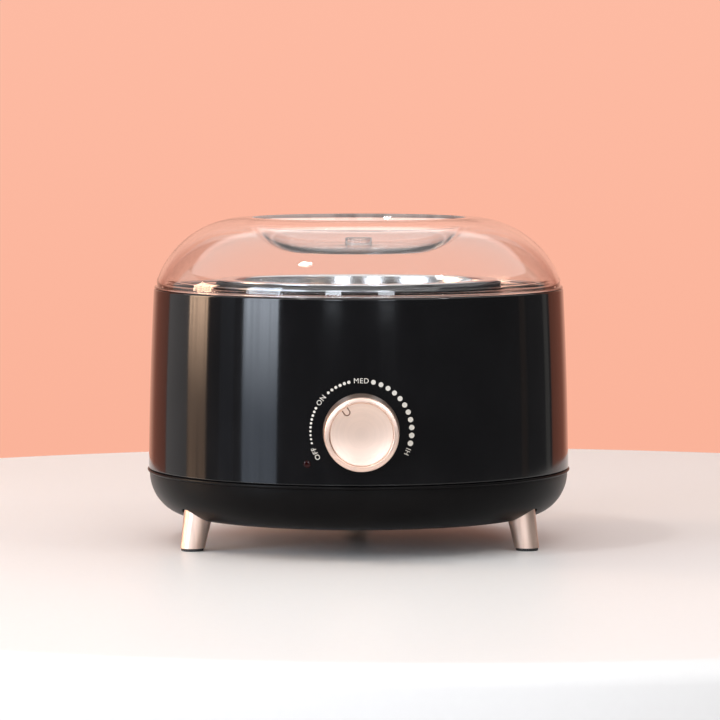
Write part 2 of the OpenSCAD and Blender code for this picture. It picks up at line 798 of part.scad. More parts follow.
// From the terminal block round the left side to the thermostat
module lead_supply() {
    color("#7a4a2a") wire(concat(
        [polar(block_a, block_face_r, tray_floor_z + 6), polar(block_a, block_face_r + 4, tray_floor_z + 6)],
        [polar(block_a + 3, lead_path_r - 3, lead_z - 3)],
        [for (a = [block_a + 8:8:248]) polar(a, lead_path_r, lead_z)],
        [[-11, -lead_path_r, lead_z + 0.5], [-6.5, -box_mid_r + 1.5, lead_z + 3]],
        [[-5, -box_mid_r, box_bottom_z - 3], [-5, -box_mid_r, box_bottom_z]]
    ), lead_r);
}

// From the thermostat to the heater's first terminal
module lead_heater() {
    color("#b33a2a") wire(concat(
        [[5, -box_mid_r, box_bottom_z], [5, -box_mid_r, box_bottom_z - 3]],
        [[6.5, -box_mid_r + 1.5, lead_z + 3], [11, -lead_path_r, lead_z + 0.5]],
        [for (a = [-72:8:tab_a[0] - 3]) polar(a, lead_path_r, lead_z)],
        [polar(tab_a[0], lead_path_r, lead_z + 4), polar(tab_a[0], lead_path_r, tab_z - 2)],
        [polar(tab_a[0], lead_path_r - 2, tab_z + 2), polar(tab_a[0], lead_path_r - 4, tab_z + 4)],
        [polar(tab_a[0], band_out_r + 2.4, tab_z + 4)]
    ), lead_r);
}

// From the heater's second terminal up to the fuse
module lead_fuse() {
    color("#d8d8d2") wire(concat(
        [polar(tab_a[1], band_out_r + 2.4, tab_z + 4), polar(tab_a[1], lead_up_r - 2, tab_z + 4)],
        [polar(tab_a[1], lead_up_r + 0.5, tab_z + 6), polar(tab_a[1], lead_up_r + 1, tab_z + 10)],
        [polar(tab_a[1], lead_up_r + 1, fuse_top_z - 8), polar(tab_a[1] + 2, lead_up_r, fuse_top_z - 3)],
        [for (a = [-4:8:20]) polar(a, lead_up_r - 2 - (a + 4) * 0.1, fuse_top_z)],
        [polar(26, fuse_path_r + 1, fuse_top_z + 1.5), polar(fuse_a - 1, fuse_path_r, fuse_top_z + 2)],
        [polar(fuse_a, fuse_path_r, fuse_top_z + 1.4), polar(fuse_a, fuse_path_r, fuse_top_z)]
    ), lead_r);
}

// From the fuse back down to the terminal block
module lead_return() {
    foot_z = fuse_top_z - fuse_h;
    color("#2a4ab3") wire([
        polar(fuse_a, fuse_path_r, foot_z),
        polar(fuse_a, fuse_path_r, foot_z - 2),
        polar(fuse_a + 2, fuse_path_r + 2.5, foot_z - 4.5),
        polar(fuse_a + 5, lead_up_r - 1, foot_z - 6),
        polar(fuse_a + 8, lead_up_r, foot_z - 9),
        polar(fuse_a + 9, lead_up_r, foot_z - 14),
        polar(fuse_a + 12, lead_up_r, shield_z + 10),
        polar(fuse_a + 14, lead_up_r, shield_z + 2),
        polar(fuse_a + 16, lead_up_r - 1, lead_z - 4),
        polar(fuse_a + 19, lead_up_r - 6, tray_floor_z + 7),
        polar(block_a - 8, block_face_r + 3.2, tray_floor_z + 6.2),
        polar(block_a - 8, block_face_r + 0.8, tray_floor_z + 6)
    ], lead_r);
}

base_tray();
body_shell();
deck_ring();
heating_well();
pot_gasket();
wax_pot();
lid();
knob_shell();
knob_face();
knob_core();
knob_spring();
thermostat_shaft();
thermostat();
thermostat_washer();
thermostat_nut();
dial_marks();
sensor_bulb();
sensor_clips();
capillary_tube();
heater_band();
heater_clamp();
clamp_screw();
insulation_sleeve();
insulation_disc();
heat_shield();
shield_standoffs();
shield_screws();
thermal_fuse();
fuse_clip();
terminal_block();
terminal_screws();
lead_supply();
lead_heater();
lead_fuse();
lead_return();
indicator_lens();
indicator_holder();
indicator_lamp();
cord_gland();
gland_nut();
leg_front_left();
leg_front_right();
leg_rear();
foot_pad_front_left();
foot_pad_front_right();
foot_pad_rear();
leg_screws();
base_screws();
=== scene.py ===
# %% [markdown]
# # A wax warmer pot
# The object is a salon appliance: a gloss-black drum on a satin-black tray, three champagne metal
# legs, one turned knob, a lift-out aluminium pot and a clear dished lid. Its sizes, places and joints
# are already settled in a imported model, which is loaded here as a fixed frame. This lesson gives it
# its looks: finer meshes for what is seen, and a worked-out finish for every surface.

import json
import math

import bmesh
import bpy
import numpy as np
from mathutils import Matrix, Vector


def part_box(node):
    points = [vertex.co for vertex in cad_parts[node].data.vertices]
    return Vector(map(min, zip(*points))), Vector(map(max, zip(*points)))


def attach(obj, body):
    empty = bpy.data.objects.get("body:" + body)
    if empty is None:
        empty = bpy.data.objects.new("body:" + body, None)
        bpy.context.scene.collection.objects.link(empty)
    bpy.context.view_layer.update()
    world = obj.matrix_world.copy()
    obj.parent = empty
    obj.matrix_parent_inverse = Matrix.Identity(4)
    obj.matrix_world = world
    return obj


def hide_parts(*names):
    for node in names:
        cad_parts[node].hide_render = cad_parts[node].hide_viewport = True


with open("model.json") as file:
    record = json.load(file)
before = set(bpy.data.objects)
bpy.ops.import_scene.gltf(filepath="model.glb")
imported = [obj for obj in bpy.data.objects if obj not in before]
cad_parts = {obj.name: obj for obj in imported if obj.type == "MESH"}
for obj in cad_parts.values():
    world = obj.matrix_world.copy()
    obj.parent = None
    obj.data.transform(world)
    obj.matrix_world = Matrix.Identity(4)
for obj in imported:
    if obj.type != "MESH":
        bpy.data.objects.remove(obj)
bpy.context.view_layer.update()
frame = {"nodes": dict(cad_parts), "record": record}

# %% [markdown]
# ## Sizes from the frame
# Every place comes from the box of a node in the frame, so the looks stay on the design if it
# changes. All lengths are in metres; `MM` keeps the small ones readable.

# %% Sizes
MM = 0.001


def span(node, axis):
    """Lowest and highest place of a node along one axis."""
    low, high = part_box(node)
    return low[axis], high[axis]


SEAM, DRUM_TOP = span("body_shell", 2)
LIP_R = span("base_tray", 0)[1]
TRAY_BOTTOM = span("base_tray", 2)[0]
LID_BOTTOM, LID_TOP = span("lid", 2)
DECK_LOW, DECK_HIGH = span("deck_ring", 2)
KNOB_FRONT, KNOB_BACK = span("knob_shell", 1)
KNOB_R = span("knob_shell", 0)[1]
KNOB_Z = sum(span("knob_shell", 2)) / 2
POT_LOW, POT_HIGH = span("wax_pot", 2)
POT_R = span("wax_pot", 0)[1]
DRUM_LOW_R = LIP_R - 0.5 * MM
DRUM_TAPER, DRUM_CROWN, DRUM_WALL = 2.4 * MM, 0.39 * MM, 2.5 * MM
DRUM_TOP_R = DRUM_LOW_R - DRUM_TAPER


def drum_r(z):
    """Radius of the drum's outside at height z: a straight taper with a slight swell."""
    t = (z - SEAM) / (DRUM_TOP - SEAM)
    return DRUM_LOW_R - DRUM_TAPER * t + DRUM_CROWN * 4 * t * (1 - t)


print("seam %.1f mm, drum top %.1f mm, lid top %.1f mm" % (SEAM / MM, DRUM_TOP / MM, LID_TOP / MM))

# %% [markdown]
# ## Arithmetic on node sockets
# A node tree is easiest to read as a formula. `Num` wraps an output socket and turns Python's
# operators into Math nodes, with the reflected forms so that `1 - mask` works. `Graph` adds any
# other node in one call: its type, its settings, then what its sockets get. The same two classes
# serve materials and Geometry Nodes.


# %% Num and Graph
class Num:
    """An output socket that takes part in arithmetic."""

    def __init__(self, graph, socket):
        self.graph, self.socket = graph, socket

    def _math(self, operation, *values):
        return self.graph.node("ShaderNodeMath", {"operation": operation}, *values)

    def __add__(self, other):
        return self._math("ADD", self, other)

    def __sub__(self, other):
        return self._math("SUBTRACT", self, other)

    def __rsub__(self, other):
        return self._math("SUBTRACT", other, self)

    def __mul__(self, other):
        return self._math("MULTIPLY", self, other)

    def __truediv__(self, other):
        return self._math("DIVIDE", self, other)

    __radd__, __rmul__ = __add__, __mul__

    def sin(self):
        return self._math("SINE", self)

    def cos(self):
        return self._math("COSINE", self)

    def root(self):
        return self._math("SQRT", self)

    def angle_to(self, other):
        return self._math("ARCTAN2", self, other)

    def clamped(self, low, high):
        """0 at low, 1 at high, smooth between."""
        return self.graph.node(
            "ShaderNodeMapRange", {"interpolation_type": "SMOOTHSTEP"}, self, low, high
        )


class Graph:
    """A node tree that is written as expressions."""

    def __init__(self, tree):
        self.tree = tree

    def feed(self, socket, value):
        if isinstance(value, Num):
            self.tree.links.new(value.socket, socket)
        elif value is not None:
            socket.default_value = value

    def node(self, kind, settings=None, *values, out=0, **named):
        made = self.tree.nodes.new(kind)
        for key, value in (settings or {}).items():
            setattr(made, key, value)
        usable = [s for s in made.inputs if s.enabled]
        for socket, value in zip(usable, values):
            self.feed(socket, value)
        for key, value in named.items():
            self.feed(next(s for s in usable if s.name == key.replace("_", " ")), value)
        outputs = [s for s in made.outputs if s.enabled]
        return Num(self, outputs[out] if isinstance(out, int) else made.outputs[out])

    def parts(self, vector):
        """The three numbers of a vector."""
        first = self.node("ShaderNodeSeparateXYZ", None, vector)
        return [Num(self, s) for s in first.socket.node.outputs]

    def combine(self, x, y, z):
        return self.node("ShaderNodeCombineXYZ", None, x, y, z)


# %% [markdown]
# ## A finish in one place
# Every finish is a Principled shader. Numbers that are the same all over are set on its own sockets.
# What changes over a surface is worked out from Object coordinates and feeds only the base colour,
# the roughness, a Bump node and the colour of emitted light: on the stage, and as a painted glint on
# the lid's edge.


# %% Finish
class Finish(Graph):
    """A Principled material with helpers for grain, smudges and bump."""

    def __init__(self, name, colour, rough, **constants):
        self.name, self.material = name, bpy.data.materials.new(name + "_finish")
        self.material.use_nodes = True
        super().__init__(self.material.node_tree)
        self.shader = next(n for n in self.tree.nodes if n.type == "BSDF_PRINCIPLED")
        self.put("Base Color", (*colour, 1))
        self.put("Roughness", rough)
        for key, value in constants.items():
            self.put(key.replace("_", " "), value)
        self.place = self.node("ShaderNodeTexCoord", None, out="Object")

    def put(self, name, value):
        self.feed(self.shader.inputs[name], value)

    def moved(self, offset=(0, 0, 0), turn=(0, 0, 0), scale=(1, 1, 1)):
        """Object coordinates, moved, turned and scaled by a Mapping node."""
        return self.node("ShaderNodeMapping", None, self.place, offset, turn, scale)

    def noise(self, scale, detail=3.0, rough=0.5, where=None):
        return self.node(
            "ShaderNodeTexNoise", None, where or self.place,
            Scale=scale, Detail=detail, Roughness=rough, out=0,
        )

    def blend(self, amount, first, second):
        """A colour between two, by an amount from 0 to 1."""
        made = self.tree.nodes.new("ShaderNodeMix")
        made.data_type = "RGBA"
        self.feed(made.inputs[0], amount)
        for socket, colour in zip((made.inputs[6], made.inputs[7]), (first, second)):
            self.feed(socket, colour if isinstance(colour, Num) else (*colour, 1))
        return Num(self, made.outputs[2])

    def bump(self, height, depth, strength=1.0):
        made = self.node("ShaderNodeBump", None, strength, depth, Height=height)
        self.put("Normal", made)


finishes = {}


def keep(finish):
    """Files a finish under its name."""
    finishes[finish.name] = finish.material


# %% [markdown]
# ## Black plastics
# The drum is moulded in a gloss black that is polished but never perfectly flat: a broad, shallow
# waviness bends its reflections a little, and a fine film of handling makes the gloss uneven. The
# tray and the deck are the same plastic with a softer shine, and small mouldings have a fine grain.


# %% Black plastics
def moulded_plastic(name, colour, rough, wave=0.0, grain=0.0, smudge=0.05, fine=1800, shine=0.5):
    paint = Finish(name, colour, rough, Specular_IOR_Level=shine)
    film = paint.noise(28, 4, 0.6)
    streaks = paint.noise(140, 3, 0.6, paint.moved(scale=(1, 1, 0.25)))
    wear = film.clamped(0.35, 0.75) * 0.6 + streaks.clamped(0.4, 0.8) * 0.4
    paint.put("Roughness", rough + smudge * wear)
    lighter = tuple(c * 1.5 + 0.002 for c in colour)
    paint.put("Base Color", paint.blend(wear * 0.6, colour, lighter))
    height = paint.noise(9, 1, 0.4) * wave + paint.noise(fine, 2, 0.5) * grain
    paint.bump(height, 1 * MM)
    keep(paint)


moulded_plastic("gloss_black", (0.0042, 0.0042, 0.0048), 0.075, wave=0.25, grain=0.0012, smudge=0.03)
moulded_plastic("satin_black", (0.003, 0.0027, 0.0028), 0.28, 0.1, grain=0.006, smudge=0.06, shine=0.08)
moulded_plastic("deck_black", (0.006, 0.006, 0.007), 0.12, wave=0.15, grain=0.003, smudge=0.05)
moulded_plastic("moulded_black", (0.011, 0.011, 0.012), 0.42, grain=0.03, smudge=0.12, fine=2600)
moulded_plastic("silicone", (0.045, 0.045, 0.048), 0.55, grain=0.02, smudge=0.15)
moulded_plastic("foot_rubber", (0.016, 0.016, 0.017), 0.62, grain=0.04, smudge=0.12)
print("black plastics:", len(finishes))

# %% [markdown]
# ## Clear lid
# The lid is a solid wall of clear plastic, so the shader is a real refracting one and the mesh has
# both its faces. The surface keeps very faint flow marks from the mould, just enough to break up
# the reflections, and a little haze where it is handled. The inner edge of its ring is hazier, and
# it carries a painted glint: a faint emitted glow in patches, standing for the light that the edge
# of a clear sheet gathers.


# %% Clear lid
# Colour of the painted glint on the inner edge of the lid's ring.
PAINTED_EDGE_GLINT = (1.0, 0.78, 0.72)


def clear_plastic(name, tint, rough, index, flow=0.2, clear=1.0, edge=0.0):
    paint = Finish(name, tint, rough, IOR=index, Transmission_Weight=clear)
    haze = paint.noise(22, 4, 0.6).clamped(0.5, 0.8) * 0.018
    # On the lid only: extra haze, and a painted glint, which is emitted colour in patches along the
    # inner edge of the ring.
    if edge:
        x, y, z = paint.parts(paint.place)
        radius = (x * x + y * y).root()
        inside = 1.0 - (radius - edge).clamped(0.0, 1.2 * MM)
        haze = haze + inside * z.clamped(LID_TOP - 1.6 * MM, LID_TOP - 0.4 * MM) * 0.5
        rim = radius.clamped(edge - 3.8 * MM, edge - 2.2 * MM) * inside
        rim = rim * z.clamped(LID_TOP - 3.6 * MM, LID_TOP - 2.6 * MM)
        patches = paint.noise(1.0, 2, 0.6, paint.combine(x * 60.0, y * 15.0, 0.0))
        painted_glint = rim * (0.45 + patches.clamped(0.4, 0.55) * 0.55)
        paint.put("Emission Color", paint.blend(painted_glint, (0, 0, 0), PAINTED_EDGE_GLINT))
        paint.put("Emission Strength", 0.34)
    paint.put("Roughness", rough + haze)
    ripple = paint.noise(14, 2, 0.45, paint.moved(scale=(1, 1, 2.2)))
    paint.bump(ripple * flow + paint.noise(90, 1, 0.4) * 0.02, 1 * MM, 0.5)
    keep(paint)


clear_plastic("clear_lid", (0.985, 0.99, 0.995), 0.004, 1.49, edge=44.8 * MM)
clear_plastic("lens_red", (0.022, 0.0003, 0.0006), 0.1, 1.28, flow=0.05, clear=0.3)
clear_plastic("lamp_glass", (0.95, 0.72, 0.55), 0.02, 1.5, flow=0.1)

# %% [markdown]
# ## Champagne metal
# Knob and legs are aluminium, anodised a pale rose gold. Turning leaves rings round the knob's axis
# and brushing leaves lines along a leg. Both are made from noise that is stretched: read along the
# radius only it gives rings, and squeezed along a leg it gives hairlines. Inside the knob's pressed
# mark there is painted shade: a dark brown colour on the groove's deeper walls, found by place: near
# the mark and deeper than the face.


# %% Metals
CHAMPAGNE = (0.88, 0.665, 0.56)
# Painted shade for the deep walls of the knob's pressed mark.
GROOVE_SHADE = (0.30, 0.15, 0.10)
MARK, MARK_R = math.radians(-33.7), 10.7 * MM
mark_at = (MARK_R * math.sin(MARK), KNOB_FRONT, KNOB_Z + MARK_R * math.cos(MARK))
knob_axis = (0, 0, KNOB_Z)


def turned_metal(name, colour, rough, axis_at, axis="Z", rings=0.05, pitch=2600, dull=0.1, mark=None):
    paint = Finish(name, colour, rough, Metallic=1.0)
    x, y, z = paint.parts(paint.moved(offset=tuple(-c for c in axis_at)))
    across, up = (x, y) if axis == "Z" else (x, z)
    along = z if axis == "Z" else y
    radius = (across * across + up * up).root()
    lines = paint.noise(1.0, 2, 0.6, paint.combine(radius * pitch, along * pitch, 0.0))
    wide = paint.noise(1.0, 2, 0.6, paint.combine(radius * pitch * 0.4, along * pitch * 0.4, 3.0))
    cloud = paint.noise(70, 4, 0.6)
    paint.put("Roughness", rough + dull * (lines * 0.6 + cloud.clamped(0.35, 0.8) * 0.5))
    darker = tuple(c * 0.96 for c in colour)
    tone = paint.blend(wide.clamped(0.3, 0.75), darker, colour)
    # Painted shade: near the mark and deeper than the face, the colour turns dark brown, standing for
    # the shade inside the groove.
    if mark:
        right, deep, high = paint.parts(paint.moved(offset=tuple(-c for c in mark)))
        near = 1.0 - (right * right + high * high).root().clamped(2.6 * MM, 2.8 * MM)
        tone = paint.blend(near * deep.clamped(1.4 * MM, 1.55 * MM), tone, GROOVE_SHADE)
    paint.put("Base Color", tone)
    paint.bump(lines * rings + wide * rings * 0.5, 0.1 * MM)
    keep(paint)


def brushed_metal(name, colour, rough, stretch=0.03, depth=0.5, dull=0.12):
    paint = Finish(name, colour, rough, Metallic=1.0)
    hairs = paint.noise(2400, 3, 0.6, paint.moved(scale=(1, 1, stretch)))
    bands = paint.noise(500, 2, 0.5, paint.moved(scale=(1, 1, stretch * 2)))
    paint.put("Roughness", rough + dull * hairs)
    darker = tuple(c * 0.78 for c in colour)
    paint.put("Base Color", paint.blend(bands.clamped(0.25, 0.75), darker, colour))
    paint.bump(hairs * depth + bands * 0.3 * depth, 0.06 * MM)
    keep(paint)


turned_metal("champagne_bright", (0.94, 0.69, 0.57), 0.28, knob_axis, "Y", rings=0.04, dull=0.06)
# The face's finish carries the painted shade of its pressed mark.
turned_metal("champagne_satin", (0.99, 0.755, 0.63), 0.33, knob_axis, "Y", 0.04, dull=0.06, mark=mark_at)
brushed_metal("champagne_brushed", CHAMPAGNE, 0.34)
turned_metal("pot_aluminium", (0.80, 0.785, 0.78), 0.15, (0, 0, 0), rings=0.12, pitch=1400)
turned_metal("well_aluminium", (0.72, 0.72, 0.73), 0.28, (0, 0, 0), rings=0.2, pitch=1400)
brushed_metal("shield_sheet", (0.62, 0.62, 0.63), 0.32, stretch=1.0)
brushed_metal("steel", (0.60, 0.60, 0.61), 0.28, stretch=0.3)
brushed_metal("brass", (0.72, 0.55, 0.26), 0.3, stretch=0.3)
brushed_metal("copper", (0.75, 0.42, 0.29), 0.27, stretch=0.3)
print("finishes so far:", len(finishes))

# %% [markdown]
# ## Finishes that stay inside
# Heater, insulation and wiring are only seen when the part is opened up, but each still has the
# surface of its own material: layered mica, woven glass fibre, unglazed ceramic and sleeved wire.


# %% Inner finishes
def soft_matter(name, colour, rough, scale, depth, contrast=0.75, stretch=(1, 1, 1)):
    paint = Finish(name, colour, rough)
    grain = paint.noise(scale, 4, 0.6, paint.moved(scale=stretch))
    mottle = paint.noise(scale * 0.07, 3, 0.5)
    darker = tuple(c * contrast for c in colour)
    paint.put("Base Color", paint.blend(grain * 0.6 + mottle * 0.5, darker, colour))
    paint.put("Roughness", rough - 0.15 * grain)
    paint.bump(grain, depth)
    keep(paint)


soft_matter("ceramic_white", (0.78, 0.75, 0.67), 0.6, 1500, 0.05 * MM, 0.85)
soft_matter("mica", (0.44, 0.39, 0.30), 0.5, 600, 0.1 * MM, 0.6, (1, 1, 6))
soft_matter("fibre", (0.82, 0.79, 0.71), 0.95, 900, 0.4 * MM, 0.7, (1, 1, 0.4))
for lead, colour in {
    "lead_brown": (0.16, 0.07, 0.03), "lead_red": (0.45, 0.03, 0.02),
    "lead_white": (0.72, 0.72, 0.68), "lead_blue": (0.03, 0.09, 0.36),
}.items():
    soft_matter(lead, colour, 0.5, 1200, 0.02 * MM, 0.85)
soft_matter("dial_print", (0.74, 0.71, 0.64), 0.55, 2500, 0.004 * MM, 0.9)
print("all finishes:", len(finishes))

# %% [markdown]
# ## Finishes onto the frame
# The record names one material slot for each node. A node that stays in view or inside keeps its
# mesh and only gets the better material of its slot.

# %% Dress the frame
slot_of = {row["node"]: row["material_slot"] for row in frame["record"]["subparts"]}
for node_name, body in frame["nodes"].items():
    for holder in body.material_slots:
        holder.material = finishes[slot_of[node_name]]
print("dressed", len(slot_of), "nodes")

# %% [markdown]
# ## Turned shapes
# Nearly every visible piece is round, so one helper revolves an outline of (radius, height) points.
# A third number at a corner rounds it with a small arc, because a real edge always catches light.
# The mesh is closed, and it is turned the right way out by the sign of its volume.


# %% Lathe
SHARP = 32  # degrees: a sharper fold is shaded as an edge


def rounded(outline, steps=5):
    """Replaces each corner that has a third number with an arc of that radius."""
    done = []
    count = len(outline)
    for i, corner in enumerate(outline):
        here = Vector(corner[:2])
        if len(corner) < 3 or corner[2] <= 0:
            done.append(here)
            continue
        before = Vector(outline[i - 1][:2]) - here
        after = Vector(outline[(i + 1) % count][:2]) - here
        half = before.angle(after) / 2
        reach = min(corner[2] / math.tan(half), before.length * 0.49, after.length * 0.49)
        radius = reach * math.tan(half)
        middle = here + (before.normalized() + after.normalized()).normalized() * radius / math.sin(half)
        start = here + before.normalized() * reach - middle
        finish = here + after.normalized() * reach - middle
        sweep = start.angle_signed(finish)
        for k in range(steps + 1):
            done.append(middle + Matrix.Rotation(-sweep * k / steps, 2) @ start)
    return done


def arc(middle, radius, first, last, steps=24):
    """Points on a circle, from one angle in degrees to another."""
    turns = [math.radians(first + (last - first) * i / steps) for i in range(steps + 1)]
    return [(middle[0] + radius * math.cos(a), middle[1] + radius * math.sin(a)) for a in turns]


def lathe(name, outline, material, around=256, place=None, sharp=SHARP):
    """A closed solid of revolution about local Z, moved to its place."""
    rings, verts, faces = [], [], []
    for radius, height in outline:
        if radius < 1e-7:
            rings.append([len(verts)])
            verts.append((0, 0, height))
            continue
        rings.append(list(range(len(verts), len(verts) + around)))
        for k in range(around):
            a = math.tau * k / around
            verts.append((radius * math.cos(a), radius * math.sin(a), height))
    on_axis = len(rings[0]) == 1 and len(rings[-1]) == 1
    pairs = list(zip(rings, rings[1:])) + ([] if on_axis else [(rings[-1], rings[0])])
    for low, high in pairs:
        for k in range(around):
            j = (k + 1) % around
            quad = [low[k % len(low)], low[j % len(low)], high[j % len(high)], high[k % len(high)]]
            quad = list(dict.fromkeys(quad))
            if len(quad) > 2:
                faces.append(quad)
    return solid(name, verts, faces, material, place, sharp)


def solid(name, verts, faces, material, place=None, sharp=SHARP):
    """An object at the origin from closed mesh data, faces outwards, shaded smooth up to an angle."""
    mesh = bpy.data.meshes.new(name)
    mesh.from_pydata(verts, [], faces)
    if place is not None:
        mesh.transform(place)
    form = bmesh.new()
    form.from_mesh(mesh)
    if form.calc_volume(signed=True) < 0:
        bmesh.ops.reverse_faces(form, faces=form.faces)
    form.to_mesh(mesh)
    form.free()
    return piece(name, mesh, material, sharp)


def piece(name, mesh, material, sharp=SHARP):
    mesh.materials.clear()
    mesh.materials.append(material)
    mesh.shade_smooth()
    mesh.set_sharp_from_angle(angle=math.radians(sharp))
    made = bpy.data.objects.new(name, mesh)
    bpy.context.collection.objects.link(made)
    return made


def stand_for(made, body, node, *more):
    """The piece rides with a body in place of its plain node."""
    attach(made, body)
    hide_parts(node, *more)
    sides = [[corner[i] for corner in made.bound_box] for i in range(3)]
    size = [(max(side) - min(side)) / MM for side in sides]
    print("%-14s %6d faces, %.1f x %.1f x %.1f mm" % (made.name, len(made.data.polygons), *size))
    return made


def cut(target, *cutters):
    """Takes each cutter's volume out of the target and removes the cutter."""
    for cutter in cutters:
        knife = target.modifiers.new("cut", "BOOLEAN")
        knife.operation, knife.solver, knife.object = "DIFFERENCE", "EXACT", cutter
    mesh = baked(target)
    target.modifiers.clear()
    target.data = mesh
    mesh.set_sharp_from_angle(angle=math.radians(SHARP))
    for cutter in cutters:
        bpy.data.objects.remove(cutter)


def true_normals(made, outline, near=0.015 * MM):
    """Gives corners that lie on the turned surface the outline's own normals, so cuts leave no dents."""
    line = np.array([tuple(point) for point in outline])
    step = np.roll(line, -1, 0) - line
    length = np.maximum(np.hypot(step[:, 0], step[:, 1]), 1e-9)
    flat = np.stack((step[:, 1], -step[:, 0]), 1) / length[:, None]
    soft = (flat * np.roll(flat, 1, 0)).sum(1) > math.cos(math.radians(SHARP))
    start = np.where(soft[:, None], flat + np.roll(flat, 1, 0), flat)
    end = np.where(np.roll(soft, -1)[:, None], flat + np.roll(flat, -1, 0), flat)

    mesh = made.data
    corner = np.empty(len(mesh.loops), int)
    mesh.loops.foreach_get("vertex_index", corner)
    place = np.empty(len(mesh.vertices) * 3)
    mesh.vertices.foreach_get("co", place)
    place = place.reshape(-1, 3)[corner]
    own = np.empty(len(mesh.loops) * 3)
    mesh.corner_normals.foreach_get("vector", own)
    own = own.reshape(-1, 3)
    facing = np.empty(len(mesh.polygons) * 3)
    mesh.polygons.foreach_get("normal", facing)
    sides = np.empty(len(mesh.polygons), int)
    mesh.polygons.foreach_get("loop_total", sides)
    facing = np.repeat(facing.reshape(-1, 3), sides, 0)

    radius = np.hypot(place[:, 0], place[:, 1])
    out = place[:, :2] / np.maximum(radius, 1e-9)[:, None]
    here = np.stack((radius, place[:, 2]), 1)
    tilt = np.stack(((facing[:, :2] * out).sum(1), facing[:, 2]), 1)
    best, miss, share = [np.zeros(len(corner), kind) for kind in (int, float, float)]
    miss[:] = 1
    for i in range(len(line)):
        t = np.clip(((here - line[i]) * step[i]).sum(1) / length[i] ** 2, 0, 1)
        gap = np.hypot(*(here - line[i] - t[:, None] * step[i]).T)
        gap += 0.1 * MM * (1 - abs((tilt * flat[i]).sum(1)))
        better = gap < miss
        best[better], miss[better], share[better] = i, gap[better], t[better]
    found = start[best] * (1 - share[:, None]) + end[best] * share[:, None]
    found /= np.maximum(np.hypot(found[:, 0], found[:, 1]), 1e-9)[:, None]
    found *= np.sign((found * tilt).sum(1))[:, None]
    exact = np.concatenate((out * found[:, :1], found[:, 1:]), 1)
    keep_own = (miss > near) | (radius < 0.1 * MM)
    mesh.normals_split_custom_set(np.where(keep_own[:, None], own, exact).tolist())


def baked(made):
    """The object's mesh with its modifiers worked out."""
    seen = made.evaluated_get(bpy.context.evaluated_depsgraph_get())
    return bpy.data.meshes.new_from_object(seen)


def outward(azimuth, height):
    """Local Z points out of the drum at an azimuth in degrees."""
    return (
        Matrix.Translation((0, 0, height))
        @ Matrix.Rotation(math.radians(azimuth), 4, "Z")
        @ Matrix.Rotation(math.radians(90), 4, "Y")
    )


# %% [markdown]
# ## Drum
# The casing is a tall ring with a slightly swelling side. Its rim is rolled over softly, its foot
# has a small undercut that makes the dark seam line, and inside it has the ledge that the deck sits
# on. A revolved outline gives an even reflection that a box-modelled tube would not.

# %% Drum
steps = 28
foot = SEAM + 0.5 * MM
shoulder = DRUM_TOP - 0.9 * MM
rows = [foot, foot + 0.35 * MM] + [foot + (shoulder - foot) * i / steps for i in range(1, steps + 1)]
side = [(drum_r(z), z) for z in rows]
bore_r = DRUM_TOP_R - DRUM_WALL
inside = [(drum_r(z) - DRUM_WALL, z) for z in
          [DECK_LOW - 5 * MM - (DECK_LOW - 5 * MM - SEAM) * i / 12 for i in range(13)]]
drum_outline = rounded(
    [(DRUM_LOW_R - 0.55 * MM, SEAM), (*side[0], 0.2 * MM)]
    + side[1:]
    + arc((DRUM_TOP_R - 0.85 * MM, shoulder), 0.9 * MM, 8, 90, 8)
    + [(bore_r, DRUM_TOP, 0.4 * MM), (bore_r, DECK_LOW, 0.2 * MM)]
    + [(bore_r - 3 * MM, DECK_LOW, 0.2 * MM), (bore_r - 3 * MM, DECK_LOW - 2 * MM)]
    + inside
)
drum = lathe("drum", drum_outline, finishes["gloss_black"], around=320)
print("drum faces:", len(drum.data.polygons))

# %% [markdown]
# The drum is pierced in three places: for the thermostat's bushing behind the knob, for the signal
# lens and for the cord gland. The first and the last also have a flat sunk into the curved wall, so
# that a nut or a flange can sit square. Screw posts stand inside on the wall.

# %% Drum holes and posts


def rod(radius, low, high, place, around=64):
    """A plain cylinder, mostly used as a cutter or a post."""
    ends = [(0, low), (radius, low), (radius, high), (0, high)]
    return lathe("rod", ends, finishes["gloss_black"], around, place)


LENS_X, LENS_R = 22 * MM, 1.5 * MM
lens_z = sum(span("indicator_lens", 2)) / 2
lens_turn = -90 - math.degrees(math.asin(LENS_X / drum_r(lens_z)))
gland_z = sum(span("cord_gland", 2)) / 2
gland_flat = span("cord_gland", 1)[1] - 2.8 * MM
gland_r = span("cord_gland", 0)[1]
shaft_flat = -span("thermostat_washer", 1)[1]
bushing_r = span("thermostat_washer", 0)[1] - 2.2 * MM
deep, far = DRUM_LOW_R - 8 * MM, DRUM_LOW_R + 5 * MM
cut(
    drum,
    rod(LENS_R + 0.05 * MM, deep, far, outward(lens_turn, lens_z)),
    rod(bushing_r, deep, far, outward(-90, KNOB_Z)),
    rod(9 * MM, shaft_flat, far, outward(-90, KNOB_Z)),
    rod(gland_r - 1.7 * MM, deep, far, outward(90, gland_z)),
    rod(gland_r + 0.3 * MM, gland_flat, far, outward(90, gland_z)),
)
true_normals(drum, drum_outline)
POST_R, POSTS = DRUM_LOW_R - DRUM_WALL - 5 * MM, (0, 60, 120, 180)
for azimuth in POSTS:
    at = Matrix.Rotation(math.radians(azimuth), 4, "Z") @ Matrix.Translation((POST_R, 0, 0))
    post = rod(4 * MM, SEAM + 4 * MM, SEAM + 28 * MM, at, 48)
    with bpy.context.temp_override(active_object=drum, selected_editable_objects=[drum, post]):
        bpy.ops.object.join()
stand_for(drum, "root", "body_shell")

# %% [markdown]
# ## Base tray
# The tray is a shallow bowl: a flat floor, an elliptical corner and a thin lip that stands just
# proud of the drum. Vents, leg sockets and screw wells are cut out of it. The vents repeat round a
# circle, so a small Geometry Nodes tree sets them out and the result is used as the cutter.


